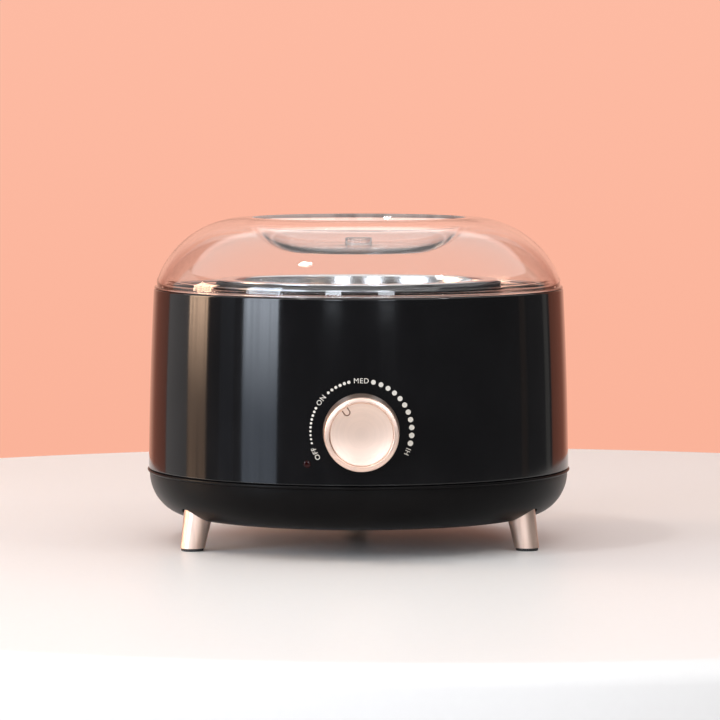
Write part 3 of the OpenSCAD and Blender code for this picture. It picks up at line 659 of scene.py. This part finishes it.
# %% Geometry Nodes helper
def node_shape(name, build, **sizes):
    """Runs a Geometry Nodes tree on an empty mesh and returns the finished mesh object."""
    tree = bpy.data.node_groups.new(name, "GeometryNodeTree")
    graph = Graph(tree)
    named = {}
    for key, value in sizes.items():
        kind = {int: "NodeSocketInt", float: "NodeSocketFloat"}[type(value)]
        named[key] = tree.interface.new_socket(key.replace("_", " "), in_out="INPUT", socket_type=kind)
    tree.interface.new_socket("Geometry", in_out="OUTPUT", socket_type="NodeSocketGeometry")
    source = tree.nodes.new("NodeGroupInput")
    inputs = {key: Num(graph, source.outputs[key.replace("_", " ")]) for key in sizes}
    result = build(graph, **inputs)
    end = tree.nodes.new("NodeGroupOutput")
    tree.links.new(result.socket, end.inputs[0])
    holder = bpy.data.objects.new(name, bpy.data.meshes.new(name))
    bpy.context.collection.objects.link(holder)
    modifier = holder.modifiers.new(name, "NODES")
    modifier.node_group = tree
    for key, value in sizes.items():
        modifier[named[key].identifier] = value
    mesh = baked(holder)
    holder.modifiers.clear()
    holder.data = mesh
    return holder


# %% [markdown]
# The vents are 18 slots that point outwards, on a circle in the middle of the floor.


# %% Vents as a cutter
def vent_ring(graph, count, ring, length, width, height, floor):
    circle = graph.node("GeometryNodeMeshCircle", {"fill_type": "NONE"}, count, ring)
    place = graph.node("GeometryNodeInputPosition")
    x, y, z = graph.parts(place)
    turn = graph.combine(0.0, 0.0, y.angle_to(x))
    slot = graph.node("GeometryNodeMeshCube", None, graph.combine(length, width, height))
    spread = graph.node(
        "GeometryNodeInstanceOnPoints", None, circle, Instance=slot, Rotation=turn
    )
    lifted = graph.node(
        "GeometryNodeTranslateInstances", None, spread, Translation=graph.combine(0.0, 0.0, floor)
    )
    joined = graph.node("GeometryNodeRealizeInstances", None, lifted)
    return graph.node("GeometryNodeSetMaterial", None, joined, Material=finishes["satin_black"])


floor_t = 2.5 * MM
vents = node_shape(
    "vents", vent_ring, count=18, ring=30 * MM, length=16 * MM, width=2.2 * MM,
    height=4 * floor_t, floor=TRAY_BOTTOM + floor_t / 2,
)
print("vent cutter faces:", len(vents.data.polygons))

# %% [markdown]
# The tray's outline goes up its outside, over the lip and the spigot that the drum sits round, and
# down its inside. The pieces that cut it are collected and used once the legs are in place.

# %% Tray
corner_w, corner_h = 16.5 * MM, SEAM - TRAY_BOTTOM - 1.5 * MM
belly_r = LIP_R - 0.9 * MM
flat_r = belly_r - corner_w


def tray_side(inset, steps=36):
    """The elliptical corner, set in by the wall for the inside."""
    turns = [math.radians(90 * i / steps) for i in range(steps + 1)]
    wide, tall = corner_w - inset, corner_h - inset
    return [(flat_r + wide * math.sin(a), TRAY_BOTTOM + corner_h - tall * math.cos(a)) for a in turns]


spigot_r = DRUM_LOW_R - DRUM_WALL - 0.3 * MM
tray_outline = rounded(
    [(0, TRAY_BOTTOM)]
    + tray_side(0)
    + [(LIP_R - 0.35 * MM, SEAM - 1.15 * MM, 0.25 * MM), (LIP_R, SEAM - 0.75 * MM, 0.25 * MM)]
    + [(LIP_R - 0.1 * MM, SEAM - 0.1 * MM, 0.35 * MM), (spigot_r, SEAM - 0.1 * MM, 0.15 * MM)]
    + [(spigot_r, SEAM + 4 * MM, 0.3 * MM), (spigot_r - 2.4 * MM, SEAM + 4 * MM, 0.3 * MM)]
    + [(spigot_r - 2.4 * MM, SEAM - 3.2 * MM)]
    + [p for p in reversed(tray_side(floor_t)) if p[1] < SEAM - 4 * MM]
    + [(0, TRAY_BOTTOM + floor_t)]
)
tray = lathe("tray", tray_outline, finishes["satin_black"], around=256)
tray_cutters = [vents]

# %% [markdown]
# ## Legs and pads
# Each leg is a solid cone of brushed metal that leans outwards, sawn level at its foot, where a thin
# dark pad is stuck on. The same outline is turned once for each leg, and a slightly larger cone
# cuts its socket into the tray, which leaves the fine dark line round the top of the leg.

# %% Legs
LEG_LEAN = math.radians(11.3)
PAD_H = span("foot_pad_rear", 2)[1]
LEG_R = 81 * MM
FOOT_R, TOP_R, LEG_LEN = 5 * MM, 6.3 * MM, 20 * MM
legs = {"front_left": 210, "front_right": -30, "rear": 90}


def leg_place(azimuth):
    return (
        Matrix.Rotation(math.radians(azimuth), 4, "Z")
        @ Matrix.Translation((LEG_R, 0, 0))
        @ Matrix.Rotation(-LEG_LEAN, 4, "Y")
    )


def leg_outline(gap, low, high):
    radius = [FOOT_R + gap + (TOP_R - FOOT_R) * s / LEG_LEN for s in (low, high)]
    rows = 12
    wall = [(radius[0] + (radius[1] - radius[0]) * i / rows, low + (high - low) * i / rows)
            for i in range(1, rows)]
    return rounded([(0, low), (radius[0], low, 0.35 * MM)] + wall + [(radius[1], high), (0, high)])


def level_foot(leg, height):
    """Saws a leaning leg off level."""
    form = bmesh.new()
    form.from_mesh(leg.data)
    bmesh.ops.bisect_plane(
        form, geom=form.verts[:] + form.edges[:] + form.faces[:],
        plane_co=(0, 0, height), plane_no=(0, 0, 1), clear_inner=True,
    )
    rim = [e for e in form.edges if e.is_boundary]
    bmesh.ops.edgeloop_fill(form, edges=rim)
    bmesh.ops.recalc_face_normals(form, faces=form.faces)
    form.to_mesh(leg.data)
    form.free()
    leg.data.set_sharp_from_angle(angle=math.radians(SHARP))


SOCKET_SHIFT = Matrix.Translation((0.7 * MM, 0, 0))
pad_r = FOOT_R - 0.3 * MM
pad_outline = rounded([(0, 0), (pad_r, 0, 0.3 * MM), (pad_r, PAD_H, 0.2 * MM), (0, PAD_H)])
for spot, azimuth in legs.items():
    at = leg_place(azimuth)
    leg = lathe("leg_" + spot + "_turned", leg_outline(0, -2 * MM, LEG_LEN),
                finishes["champagne_brushed"], 96, at)
    level_foot(leg, PAD_H)
    stand_for(leg, "root", "leg_" + spot)
    tray_cutters.append(lathe("socket", leg_outline(0.15 * MM, 6 * MM, LEG_LEN),
                              finishes["satin_black"], 96, at @ SOCKET_SHIFT))
    pad_axis = Matrix.Rotation(math.radians(azimuth), 4, "Z") @ Matrix.Translation(
        (LEG_R - PAD_H * math.tan(LEG_LEAN), 0, 0))
    pad = lathe("pad_" + spot, pad_outline, finishes["foot_rubber"], 64, pad_axis)
    stand_for(pad, "root", "foot_pad_" + spot)

# %% [markdown]
# A screw comes up through a well under each post of the drum. With the wells, the sockets and the
# vents collected, one cut finishes the tray.

# %% Screw wells, then the tray is done
for azimuth in POSTS:
    at = Matrix.Rotation(math.radians(azimuth), 4, "Z") @ Matrix.Translation((POST_R, 0, 0))
    tray_cutters.append(rod(3.5 * MM, 0, TRAY_BOTTOM + 11.4 * MM, at, 48))
cut(tray, *tray_cutters)
true_normals(tray, tray_outline)
stand_for(tray, "root", "base_tray")

# %% [markdown]
# ## Deck, gasket and pot
# Under the lid a black deck closes the gap between the drum and the well. The lift-out pot hangs in
# the middle by a rolled rim, which shows through the lid as one bright line.

# %% Deck, gasket and pot
gasket_low, gasket_high = span("pot_gasket", 2)
gasket_r = span("pot_gasket", 0)[1]
collar_r = gasket_r + 1.5 * MM
deck_r = bore_r - 0.3 * MM
deck_top = DECK_LOW + 2.5 * MM
deck = lathe("deck", rounded([
    (collar_r - 4 * MM, DECK_LOW), (deck_r, DECK_LOW), (deck_r, deck_top, 0.5 * MM),
    (collar_r + 1 * MM, deck_top, 0.8 * MM), (collar_r, deck_top + 1 * MM),
    (collar_r, DECK_HIGH, 0.5 * MM), (collar_r - 4 * MM, DECK_HIGH),
]), finishes["deck_black"], around=256)
stand_for(deck, "root", "deck_ring")

gasket_in = gasket_r - 3.4 * MM
gasket = lathe("gasket", rounded([
    (gasket_in, gasket_low, 0.3 * MM), (gasket_r, gasket_low, 0.5 * MM),
    (gasket_r, gasket_high, 0.5 * MM), (gasket_in, gasket_high, 0.3 * MM),
]), finishes["silicone"], around=192)
stand_for(gasket, "root", "pot_gasket")

pot_side = POT_R - 4.2 * MM
pot_wall, pot_bend, rim_t = 1.2 * MM, 6 * MM, 1.2 * MM
pot_seat = POT_HIGH - rim_t
bend_at = (pot_side - pot_bend, POT_LOW + pot_bend)
pot = lathe("pot", rounded(
    [(0, POT_LOW)]
    + arc(bend_at, pot_bend, -90, 0, 14)
    + [(pot_side, pot_seat, 0.6 * MM)]
    + arc((POT_R - rim_t / 2, pot_seat + rim_t / 2), rim_t / 2, -90, 90, 12)
    + [(pot_side - pot_wall, POT_HIGH, 1.1 * MM)]
    + arc(bend_at, pot_bend - pot_wall, 0, -90, 14)
    + [(0, POT_LOW + pot_wall)]
), finishes["pot_aluminium"], around=256)
stand_for(pot, "pot", "wax_pot")

# %% [markdown]
# ## Lid
# The lid is one clear moulding. From the outside in, it has a flat foot that sits on the drum, a
# short upright skirt, a dome of one radius, a narrow flat ring, and a dish whose wall is another
# arc. A grip stud stands in the dish, and a rib underneath keeps the lid central. A curved wall
# that drops by b over a run of a has the radius (a*a + b*b) / 2b, so both arcs follow from the sizes.


# %% Lid
def cap_radius(run, drop):
    return (run * run + drop * drop) / (2 * drop)


def angle_of(sine):
    return math.degrees(math.asin(sine))


LID_WALL = 2.2 * MM
rest = DRUM_TOP + 0.05 * MM
bead_r = DRUM_TOP_R - 0.2 * MM
skirt_r = DRUM_TOP_R - 1.3 * MM
skirt_in = skirt_r - LID_WALL
skirt_top = DRUM_TOP + 3.5 * MM
rib_out = bore_r - 1.4 * MM
rib_in = rib_out - 1.8 * MM
ring_r, ring_w = 48 * MM, 3.2 * MM
dish_depth, dish_flat = 12.2 * MM, 24 * MM
stud_r, stud_h = 5.7 * MM, 5.2 * MM
dome_r = cap_radius(skirt_r - ring_r, LID_TOP - skirt_top)
dome = (ring_r, LID_TOP - dome_r)
dish_r = cap_radius(ring_r - ring_w - dish_flat, dish_depth)
dish_floor = LID_TOP - dish_depth
dish = (dish_flat, dish_floor + dish_r)
under_r, dish_under = dome_r - LID_WALL, dish_r + LID_WALL
dish_angle = -angle_of((dish[1] - LID_TOP) / dish_r)
dome_top = (ring_r, LID_TOP)
dish_start = arc(dish, dish_r, dish_angle - 1.5, -90, 1)[0]
lid_outline = (
    rounded([
        (rib_in, LID_BOTTOM, 0.4 * MM), (rib_out, LID_BOTTOM, 0.4 * MM), (rib_out, rest, 0.2 * MM),
        (bead_r, rest, 0.25 * MM), (bead_r, rest + 0.75 * MM, 0.3 * MM),
        (skirt_r, rest + 0.95 * MM, 0.15 * MM), (skirt_r, skirt_top),
    ])[:-1]
    + arc(dome, dome_r, angle_of((skirt_top - dome[1]) / dome_r), 90, 56)
    + rounded([dome_top, (ring_r - ring_w, LID_TOP, 0.9 * MM), dish_start], 8)[1:-1]
    + arc(dish, dish_r, dish_angle - 1.5, -90, 36)
    + rounded([
        (dish_flat * 0.5, dish_floor), (stud_r, dish_floor, 0.6 * MM),
        (stud_r, dish_floor + stud_h, 1.2 * MM), (0, dish_floor + stud_h),
    ])
    + [(0, dish_floor - LID_WALL)]
    + arc(dish, dish_under, -90, -angle_of((dish[1] - LID_TOP + LID_WALL) / dish_under), 36)
    + arc(dome, under_r, 90, math.degrees(math.acos((skirt_in - ring_r) / under_r)), 56)
    + rounded([
        (skirt_in, rest + 1.6 * MM), (rib_in, rest + 1.6 * MM, 0.5 * MM), (rib_in, LID_BOTTOM),
    ])[:-1]
)
lid = lathe("lid_moulding", lid_outline, finishes["clear_lid"], around=256, sharp=40)
stand_for(lid, "lid", "lid")

# %% [markdown]
# ## Knob
# A turned shell with a bright bevelled edge holds a dished satin face, which has one small
# horseshoe mark pressed into it. Both are turned about the knob's own axis. The mark is a cutter
# swept round a half circle with two straight ends, so the groove is real and catches the light.

# %% Knob
DEPTH = KNOB_BACK - KNOB_FRONT
knob_place = outward(-90, KNOB_Z) @ Matrix.Translation((0, 0, -KNOB_BACK))
edge_r = KNOB_R - 0.5 * MM
flank = [(KNOB_R - 0.5 * MM * i / 8, 0.4 * MM + (DEPTH - 1.4 * MM) * i / 8) for i in range(9)]
shell = lathe("knob_skin", rounded(
    [(KNOB_R - 0.3 * MM, 0), (KNOB_R, 0.4 * MM, 0.3 * MM)]
    + flank[1:-1]
    + [(edge_r, DEPTH - 0.75 * MM, 0.3 * MM), (edge_r - 0.3 * MM, DEPTH - 0.2 * MM, 0.25 * MM)]
    + [(edge_r - 1.95 * MM, DEPTH, 0.3 * MM), (edge_r - 2.3 * MM, DEPTH - 0.4 * MM, 0.12 * MM)]
    + [(edge_r - 2.3 * MM, DEPTH - 2 * MM), (edge_r - 1.2 * MM, DEPTH - 2 * MM), (KNOB_R - 1.2 * MM, 0)]
), finishes["champagne_bright"], 192, knob_place)
stand_for(shell, "knob", "knob_shell")

face_r = KNOB_R - 2.84 * MM
face_back = DEPTH - 2 * MM
dish_h = 0.9 * MM
bowl = [(face_r * (1 - i / 24), face_back + 1.2 * MM - dish_h * (1 - (1 - i / 24) ** 2))
        for i in range(1, 25)]
face = lathe("knob_disc", rounded(
    [(0, face_back), (face_r, face_back), (face_r, face_back + 1.2 * MM, 0.15 * MM)] + bowl
), finishes["champagne_satin"], 192, knob_place)


def horseshoe(width, arm, bend, low, high):
    """A square-section U, open towards +X, as a closed mesh."""
    centre = [(-bend * math.cos(a), bend * math.sin(a)) for a in
              [math.radians(-90 + 180 * i / 16) for i in range(17)]]
    path = [(arm, -bend)] + centre + [(arm, bend)]
    normals = [(0, -1)] + [(x / bend, y / bend) for x, y in centre] + [(0, 1)]
    verts, faces = [], []
    for (x, y), (nx, ny) in zip(path, normals):
        for reach in (-width / 2, width / 2):
            for level in (low, high):
                verts.append((x + nx * reach, y + ny * reach, level))
    for i in range(len(path) - 1):
        a, b = 4 * i, 4 * i + 4
        faces += [(a, a + 1, b + 1, b), (a + 1, a + 3, b + 3, b + 1),
                  (a + 3, a + 2, b + 2, b + 3), (a + 2, a, b, b + 2)]
    end = 4 * (len(path) - 1)
    faces += [(0, 2, 3, 1), (end, end + 1, end + 3, end + 2)]
    return verts, faces


mark_place = (
    knob_place
    @ Matrix.Rotation(math.pi - MARK, 4, "Z")
    @ Matrix.Translation((MARK_R, 0, 0))
)
groove = horseshoe(0.5 * MM, 1.7 * MM, 1.2 * MM, DEPTH - 1.9 * MM, DEPTH)
mark = solid("mark", *groove, finishes["champagne_satin"], mark_place)
cut(face, mark)
stand_for(face, "knob", "knob_face")

# %% [markdown]
# ## Dial print
# The scale is screen-printed: three runs of dots that grow towards HI, with OFF, ON, MED and HI
# between them. The dots follow a rule, so Geometry Nodes make them: points on a ring, discs on
# the points, and then every corner is pressed onto the drum's curved side by the drum's own formula.


# %% Dots
def dots(graph, count, first_turn, last_turn, first_size, last_size, ring, ink):
    line = graph.node("GeometryNodeMeshLine", {"mode": "OFFSET"}, count)
    share = graph.node("GeometryNodeInputIndex") / (count - 1.0)
    turn = first_turn + (last_turn - first_turn) * share
    size = first_size + (last_size - first_size) * share
    spot = graph.combine(turn.sin() * ring, 0.0, turn.cos() * ring + KNOB_Z)
    placed = graph.node("GeometryNodeSetPosition", None, line, Position=spot)
    disc = graph.node("GeometryNodeMeshCylinder", None, 28, 1, 1, 1.0, 1.0)
    upright = graph.combine(math.pi / 2, 0.0, 0.0)
    stamped = graph.node("GeometryNodeInstanceOnPoints", None, placed, Instance=disc,
                         Rotation=upright, Scale=graph.combine(size, size, ink))
    joined = graph.node("GeometryNodeRealizeInstances", None, stamped)
    x, y, z = graph.parts(graph.node("GeometryNodeInputPosition"))
    t = (z - SEAM) / (DRUM_TOP - SEAM)
    wall = DRUM_LOW_R - t * DRUM_TAPER + t * (1 - t) * (4 * DRUM_CROWN)
    skin = (wall * wall - x * x).root()
    pressed = graph.node("GeometryNodeSetPosition", None, joined, Position=graph.combine(x, y - skin, z))
    return graph.node("GeometryNodeSetMaterial", None, pressed, Material=finishes["dial_print"])


RING = 20.6 * MM
INK = 0.05 * MM
runs = [(10, -103.7, -63.0, 0.42, 0.54), (6, -40.4, -14.1, 0.57, 0.68), (11, 13.9, 104.0, 0.98, 1.13)]
prints = []
for count, first, last, small, large in runs:
    prints.append(node_shape(
        "dots", dots, count=count, first_turn=math.radians(first), last_turn=math.radians(last),
        first_size=small * MM, last_size=large * MM, ring=RING, ink=2 * INK,
    ))
print("dots:", sum(len(p.data.polygons) for p in prints), "faces")


# %% [markdown]
# The words are set in Blender's own typeface. Each is scaled to its height, turned to its place on
# the ring and pressed onto the drum. HI is turned over, with its top towards the middle of the ring.


# %% Words on the dial
def word(text, turn, flip, height=2.0 * MM):
    """One word of the dial, set round the ring and pressed onto the drum."""
    curve = bpy.data.curves.new(text, "FONT")
    curve.body, curve.align_x, curve.align_y = text, "CENTER", "CENTER"
    curve.size, curve.extrude, curve.resolution_u = 1.0, INK, 6
    curve.space_character = 1.12
    flat = bpy.data.objects.new(text, curve)
    bpy.context.collection.objects.link(flat)
    mesh = bpy.data.meshes.new_from_object(flat.evaluated_get(bpy.context.evaluated_depsgraph_get()))
    bpy.data.objects.remove(flat)
    low, high = (pick(v.co.y for v in mesh.vertices) for pick in (min, max))
    scale, middle = height / (high - low), (low + high) / 2
    lean = math.radians(turn + (180 if flip else 0))
    for vertex in mesh.vertices:
        across, up = vertex.co.x * scale, (vertex.co.y - middle) * scale
        x = RING * math.sin(math.radians(turn)) + across * math.cos(lean) + up * math.sin(lean)
        z = KNOB_Z + RING * math.cos(math.radians(turn)) - across * math.sin(lean) + up * math.cos(lean)
        vertex.co = (x, -math.sqrt(drum_r(z) ** 2 - x * x) - vertex.co.z, z)
    return piece(text, mesh, finishes["dial_print"])


for text, turn, flip in (
    ("OFF", -116.5, False), ("ON", -52.3, False), ("MED", 0, False), ("HI", 114, True),
):
    prints.append(word(text, turn, flip))


def joined(name, parts, material):
    """One piece from several meshes."""
    form = bmesh.new()
    for part in parts:
        form.from_mesh(part.data)
    mesh = bpy.data.meshes.new(name)
    bmesh.ops.remove_doubles(form, verts=form.verts, dist=1e-7)
    bmesh.ops.recalc_face_normals(form, faces=form.faces)
    form.to_mesh(mesh)
    form.free()
    for part in parts:
        bpy.data.objects.remove(part)
    return piece(name, mesh, material)


dial = joined("dial_scale", prints, finishes["dial_print"])
stand_for(dial, "root", "dial_marks")

# %% [markdown]
# ## Signal lens and cord gland
# The lens is a small dark red button whose domed tip stands a hair proud of the drum. At the back,
# the gland is a round black bushing with a rolled mouth, through which the mains cord would leave.

# %% Lens and gland
lens_wall = drum_r(lens_z)
tip = lens_wall + 0.35 * MM
base = lens_wall - DRUM_WALL - 0.9 * MM
lens = lathe("signal_lens", rounded(
    [(0, base), (LENS_R + 1 * MM, base, 0.2 * MM), (LENS_R + 1 * MM, base + 0.8 * MM, 0.2 * MM)]
    + [(LENS_R, base + 0.8 * MM), (LENS_R, tip - 0.35 * MM)]
    + [(LENS_R * math.cos(a), tip - 0.35 * MM + 0.35 * MM * math.sin(a)) for a in
       [math.radians(12 * i) for i in range(1, 7)]]
    + [(0, tip)]
), finishes["lens_red"], 64, outward(lens_turn, lens_z))
stand_for(lens, "root", "indicator_lens")

bore = 3.4 * MM
tail, mouth = span("cord_gland", 1)
gland = lathe("gland_bushing", rounded([
    (bore, tail, 0.4 * MM), (bore + 2.2 * MM, tail, 0.3 * MM), (bore + 2.2 * MM, mouth - 2.8 * MM),
    (gland_r, mouth - 2.8 * MM, 0.3 * MM), (gland_r, mouth - 0.8 * MM, 0.9 * MM),
    (gland_r - 1.6 * MM, mouth, 0.8 * MM), (bore, mouth, 1.2 * MM),
]), finishes["moulded_black"], 128, outward(90, gland_z))
stand_for(gland, "root", "cord_gland")

# %% [markdown]
# ## Stage, lights and camera
# The stage is a pale round table top with a glowing peach wall far behind it, whose light is painted:
# a little brighter higher up and much dimmer far to the sides. The front of the room stays dim near
# the ground, because black gloss only looks black when it has something dark to reflect. Above that,
# large soft panels light the knob and the table.

# %% Table and wall


def sheet(name, corners, material):
    """A flat stage sheet from four corners."""
    mesh = bpy.data.meshes.new(name)
    mesh.from_pydata(corners, [], [(0, 1, 2, 3)])
    mesh.materials.append(material)
    made = bpy.data.objects.new(name, mesh)
    bpy.context.collection.objects.link(made)
    return made


def glow(name, low_colour, high_colour, low, high, strength, slats=0.0, azimuth=0.0):
    """An even or upright-striped light surface that changes from one colour to another with height."""
    paint = Finish(name, (0, 0, 0), 1.0, Emission_Strength=strength)
    x, y, z = paint.parts(paint.place)
    tint = paint.blend(z.clamped(low, high), low_colour, high_colour)
    if slats:
        a = math.radians(azimuth)
        across = x * math.cos(a) + y * math.sin(a)
        stripe = paint.noise(1.0, 2, 0.6, paint.combine(across * 48.0, z * 0.8, 0.0))
        tint = paint.blend(stripe.clamped(0.44, 0.60) * slats, tint, (0.0, 0.0, 0.0))
    paint.put("Emission Color", tint)
    return paint.material


TABLE_R, TABLE_AT = 0.415, (0.03, 0.035, 0)
paper = Finish("table_top", (0.80, 0.785, 0.775), 0.42, Specular_IOR_Level=0.18)
speck = paper.noise(260, 3, 0.6)
paper.put("Base Color", paper.blend(speck, (0.79, 0.775, 0.765), (0.815, 0.80, 0.79)))
table_outline = rounded([(0, -0.04), (TABLE_R, -0.04, 0.012), (TABLE_R, 0, 0.008), (0, 0)])
table = lathe("table_top", table_outline, paper.material, 256, Matrix.Translation(TABLE_AT))

wall_paint = Finish("wall_paper", (0, 0, 0), 1.0, Emission_Strength=1.0)
x, y, z = wall_paint.parts(wall_paint.place)
# Painted light on the wall: its glow is a little brighter higher up and falls off to a dim rust far to
# the sides.
lit = wall_paint.blend(z.clamped(-0.5, 0.6), (0.95, 0.43, 0.30), (0.985, 0.50, 0.37))
wall_paint.put("Emission Color", wall_paint.blend((x * x).clamped(0.3, 2.5), lit, (0.50, 0.17, 0.11)))
wall_corners = [(-3, 2.6, -1.2), (3, 2.6, -1.2), (3, 2.6, 2.6), (-3, 2.6, 2.6)]
wall = sheet("wall", wall_corners, wall_paint.material)
wall.visible_diffuse = False


# %% [markdown]
# What the drum mirrors is made of upright strips, which the camera doesn't see: a cool window and a
# warm slatted one on the left, and thin strips on the right. Area lights do the rest: a wide one
# above, one high in front, a small key for the shadow, and two that show as soft spots on the knob.


# %% Windows and lights
def window(name, azimuth, width, strength, low_colour, high_colour, slats=0.0, far=1.8):
    """An upright bright strip that the drum mirrors. Azimuth 0 is in front, positive to the right."""
    a = math.radians(azimuth)
    light = glow(name, low_colour, high_colour, -0.02, 0.24, strength, slats, azimuth)
    middle = Vector((far * math.sin(a), -far * math.cos(a), 0))
    side = Vector((math.cos(a), math.sin(a), 0)) * width / 2
    corners = [middle + side * sign + Vector((0, 0, z)) for sign, z in
               ((-1, -0.5), (1, -0.5), (1, 0.9), (-1, 0.9))]
    made = sheet(name, corners, light)
    made.visible_camera = False
    return made


window("window_cool", -55, 0.66, 4.0, (0.33, 0.38, 0.46), (2.4, 2.65, 3.0), slats=0.5)
window("window_warm", -98.5, 0.5, 4.0, (0.42, 0.27, 0.18), (5.2, 3.5, 2.4), slats=0.85)
window("window_frame", -76, 0.3, 0.3, (0.55, 0.6, 0.7), (1.0, 1.1, 1.2), slats=0.6)
window("wall_left", -117, 0.78, 0.5, (0.9, 0.84, 0.82), (1.0, 0.95, 0.93))
window("strip_right", 124, 0.16, 0.3, (0.75, 0.72, 0.68), (1.0, 0.95, 0.9))
window("strip_far_right", 100, 0.16, 0.25, (0.8, 0.6, 0.5), (1.0, 0.8, 0.7), slats=0.6)


def soft_light(name, place, width, height, brightness, colour=(1, 1, 1)):
    """An area light of even brightness that faces the object."""
    light = bpy.data.lights.new(name, "AREA")
    light.shape, light.size, light.size_y = "RECTANGLE", width, height
    light.energy, light.color = brightness * math.pi * width * height, colour
    made = bpy.data.objects.new(name, light)
    bpy.context.collection.objects.link(made)
    made.location = place
    made.rotation_euler = (Vector((0, 0, 0.05)) - Vector(place)).to_track_quat("-Z", "Y").to_euler()
    return made


soft_light("overhead", (0, 0.2, 2.4), 8.0, 5.0, 0.93, (1.0, 0.985, 0.97))
soft_light("front_high", (0, -2.7, 1.65), 6.0, 1.7, 1.25, (1.0, 0.985, 0.97))
soft_light("table_edge", (0, -2.2, -1.1), 2.4, 0.9, 3.4, (1.0, 0.985, 0.97))
soft_light("key", (-0.62, -0.46, 1.6), 0.13, 0.13, 62, (1.0, 0.98, 0.95))
soft_light("lamp_right", (0.9, -0.6, 1.15), 0.1, 0.1, 50, (1.0, 0.98, 0.95))
soft_light("knob_left", (-0.6, -2.3, 0.45), 0.36, 0.36, 16, (0.84, 0.91, 1.0))
soft_light("knob_right", (0.6, -2.3, 0.45), 0.36, 0.36, 12, (0.86, 0.92, 1.0))

world = bpy.data.worlds.new("room")
world.use_nodes = True
world.node_tree.nodes["Background"].inputs[0].default_value = (1.0, 0.96, 0.97, 1)
world.node_tree.nodes["Background"].inputs[1].default_value = 0.09
bpy.context.scene.world = world
bpy.context.scene.view_settings.view_transform = "Standard"

# %% [markdown]
# The camera stands well back with a long lens, a little above the lid, and looks slightly down.

# %% Camera
CAMERA_FAR, CAMERA_HIGH, CAMERA_TURN = 1.760, 0.197, math.radians(-0.7)
camera = bpy.data.objects.new("camera", bpy.data.cameras.new("camera"))
bpy.context.collection.objects.link(camera)
camera.data.lens, camera.data.sensor_width = 206.8, 36
camera.location = (CAMERA_FAR * math.sin(CAMERA_TURN), -CAMERA_FAR * math.cos(CAMERA_TURN), CAMERA_HIGH)
camera.rotation_euler = (math.radians(90 - 3.9), 0, CAMERA_TURN - math.radians(0.02))
bpy.context.scene.camera = camera
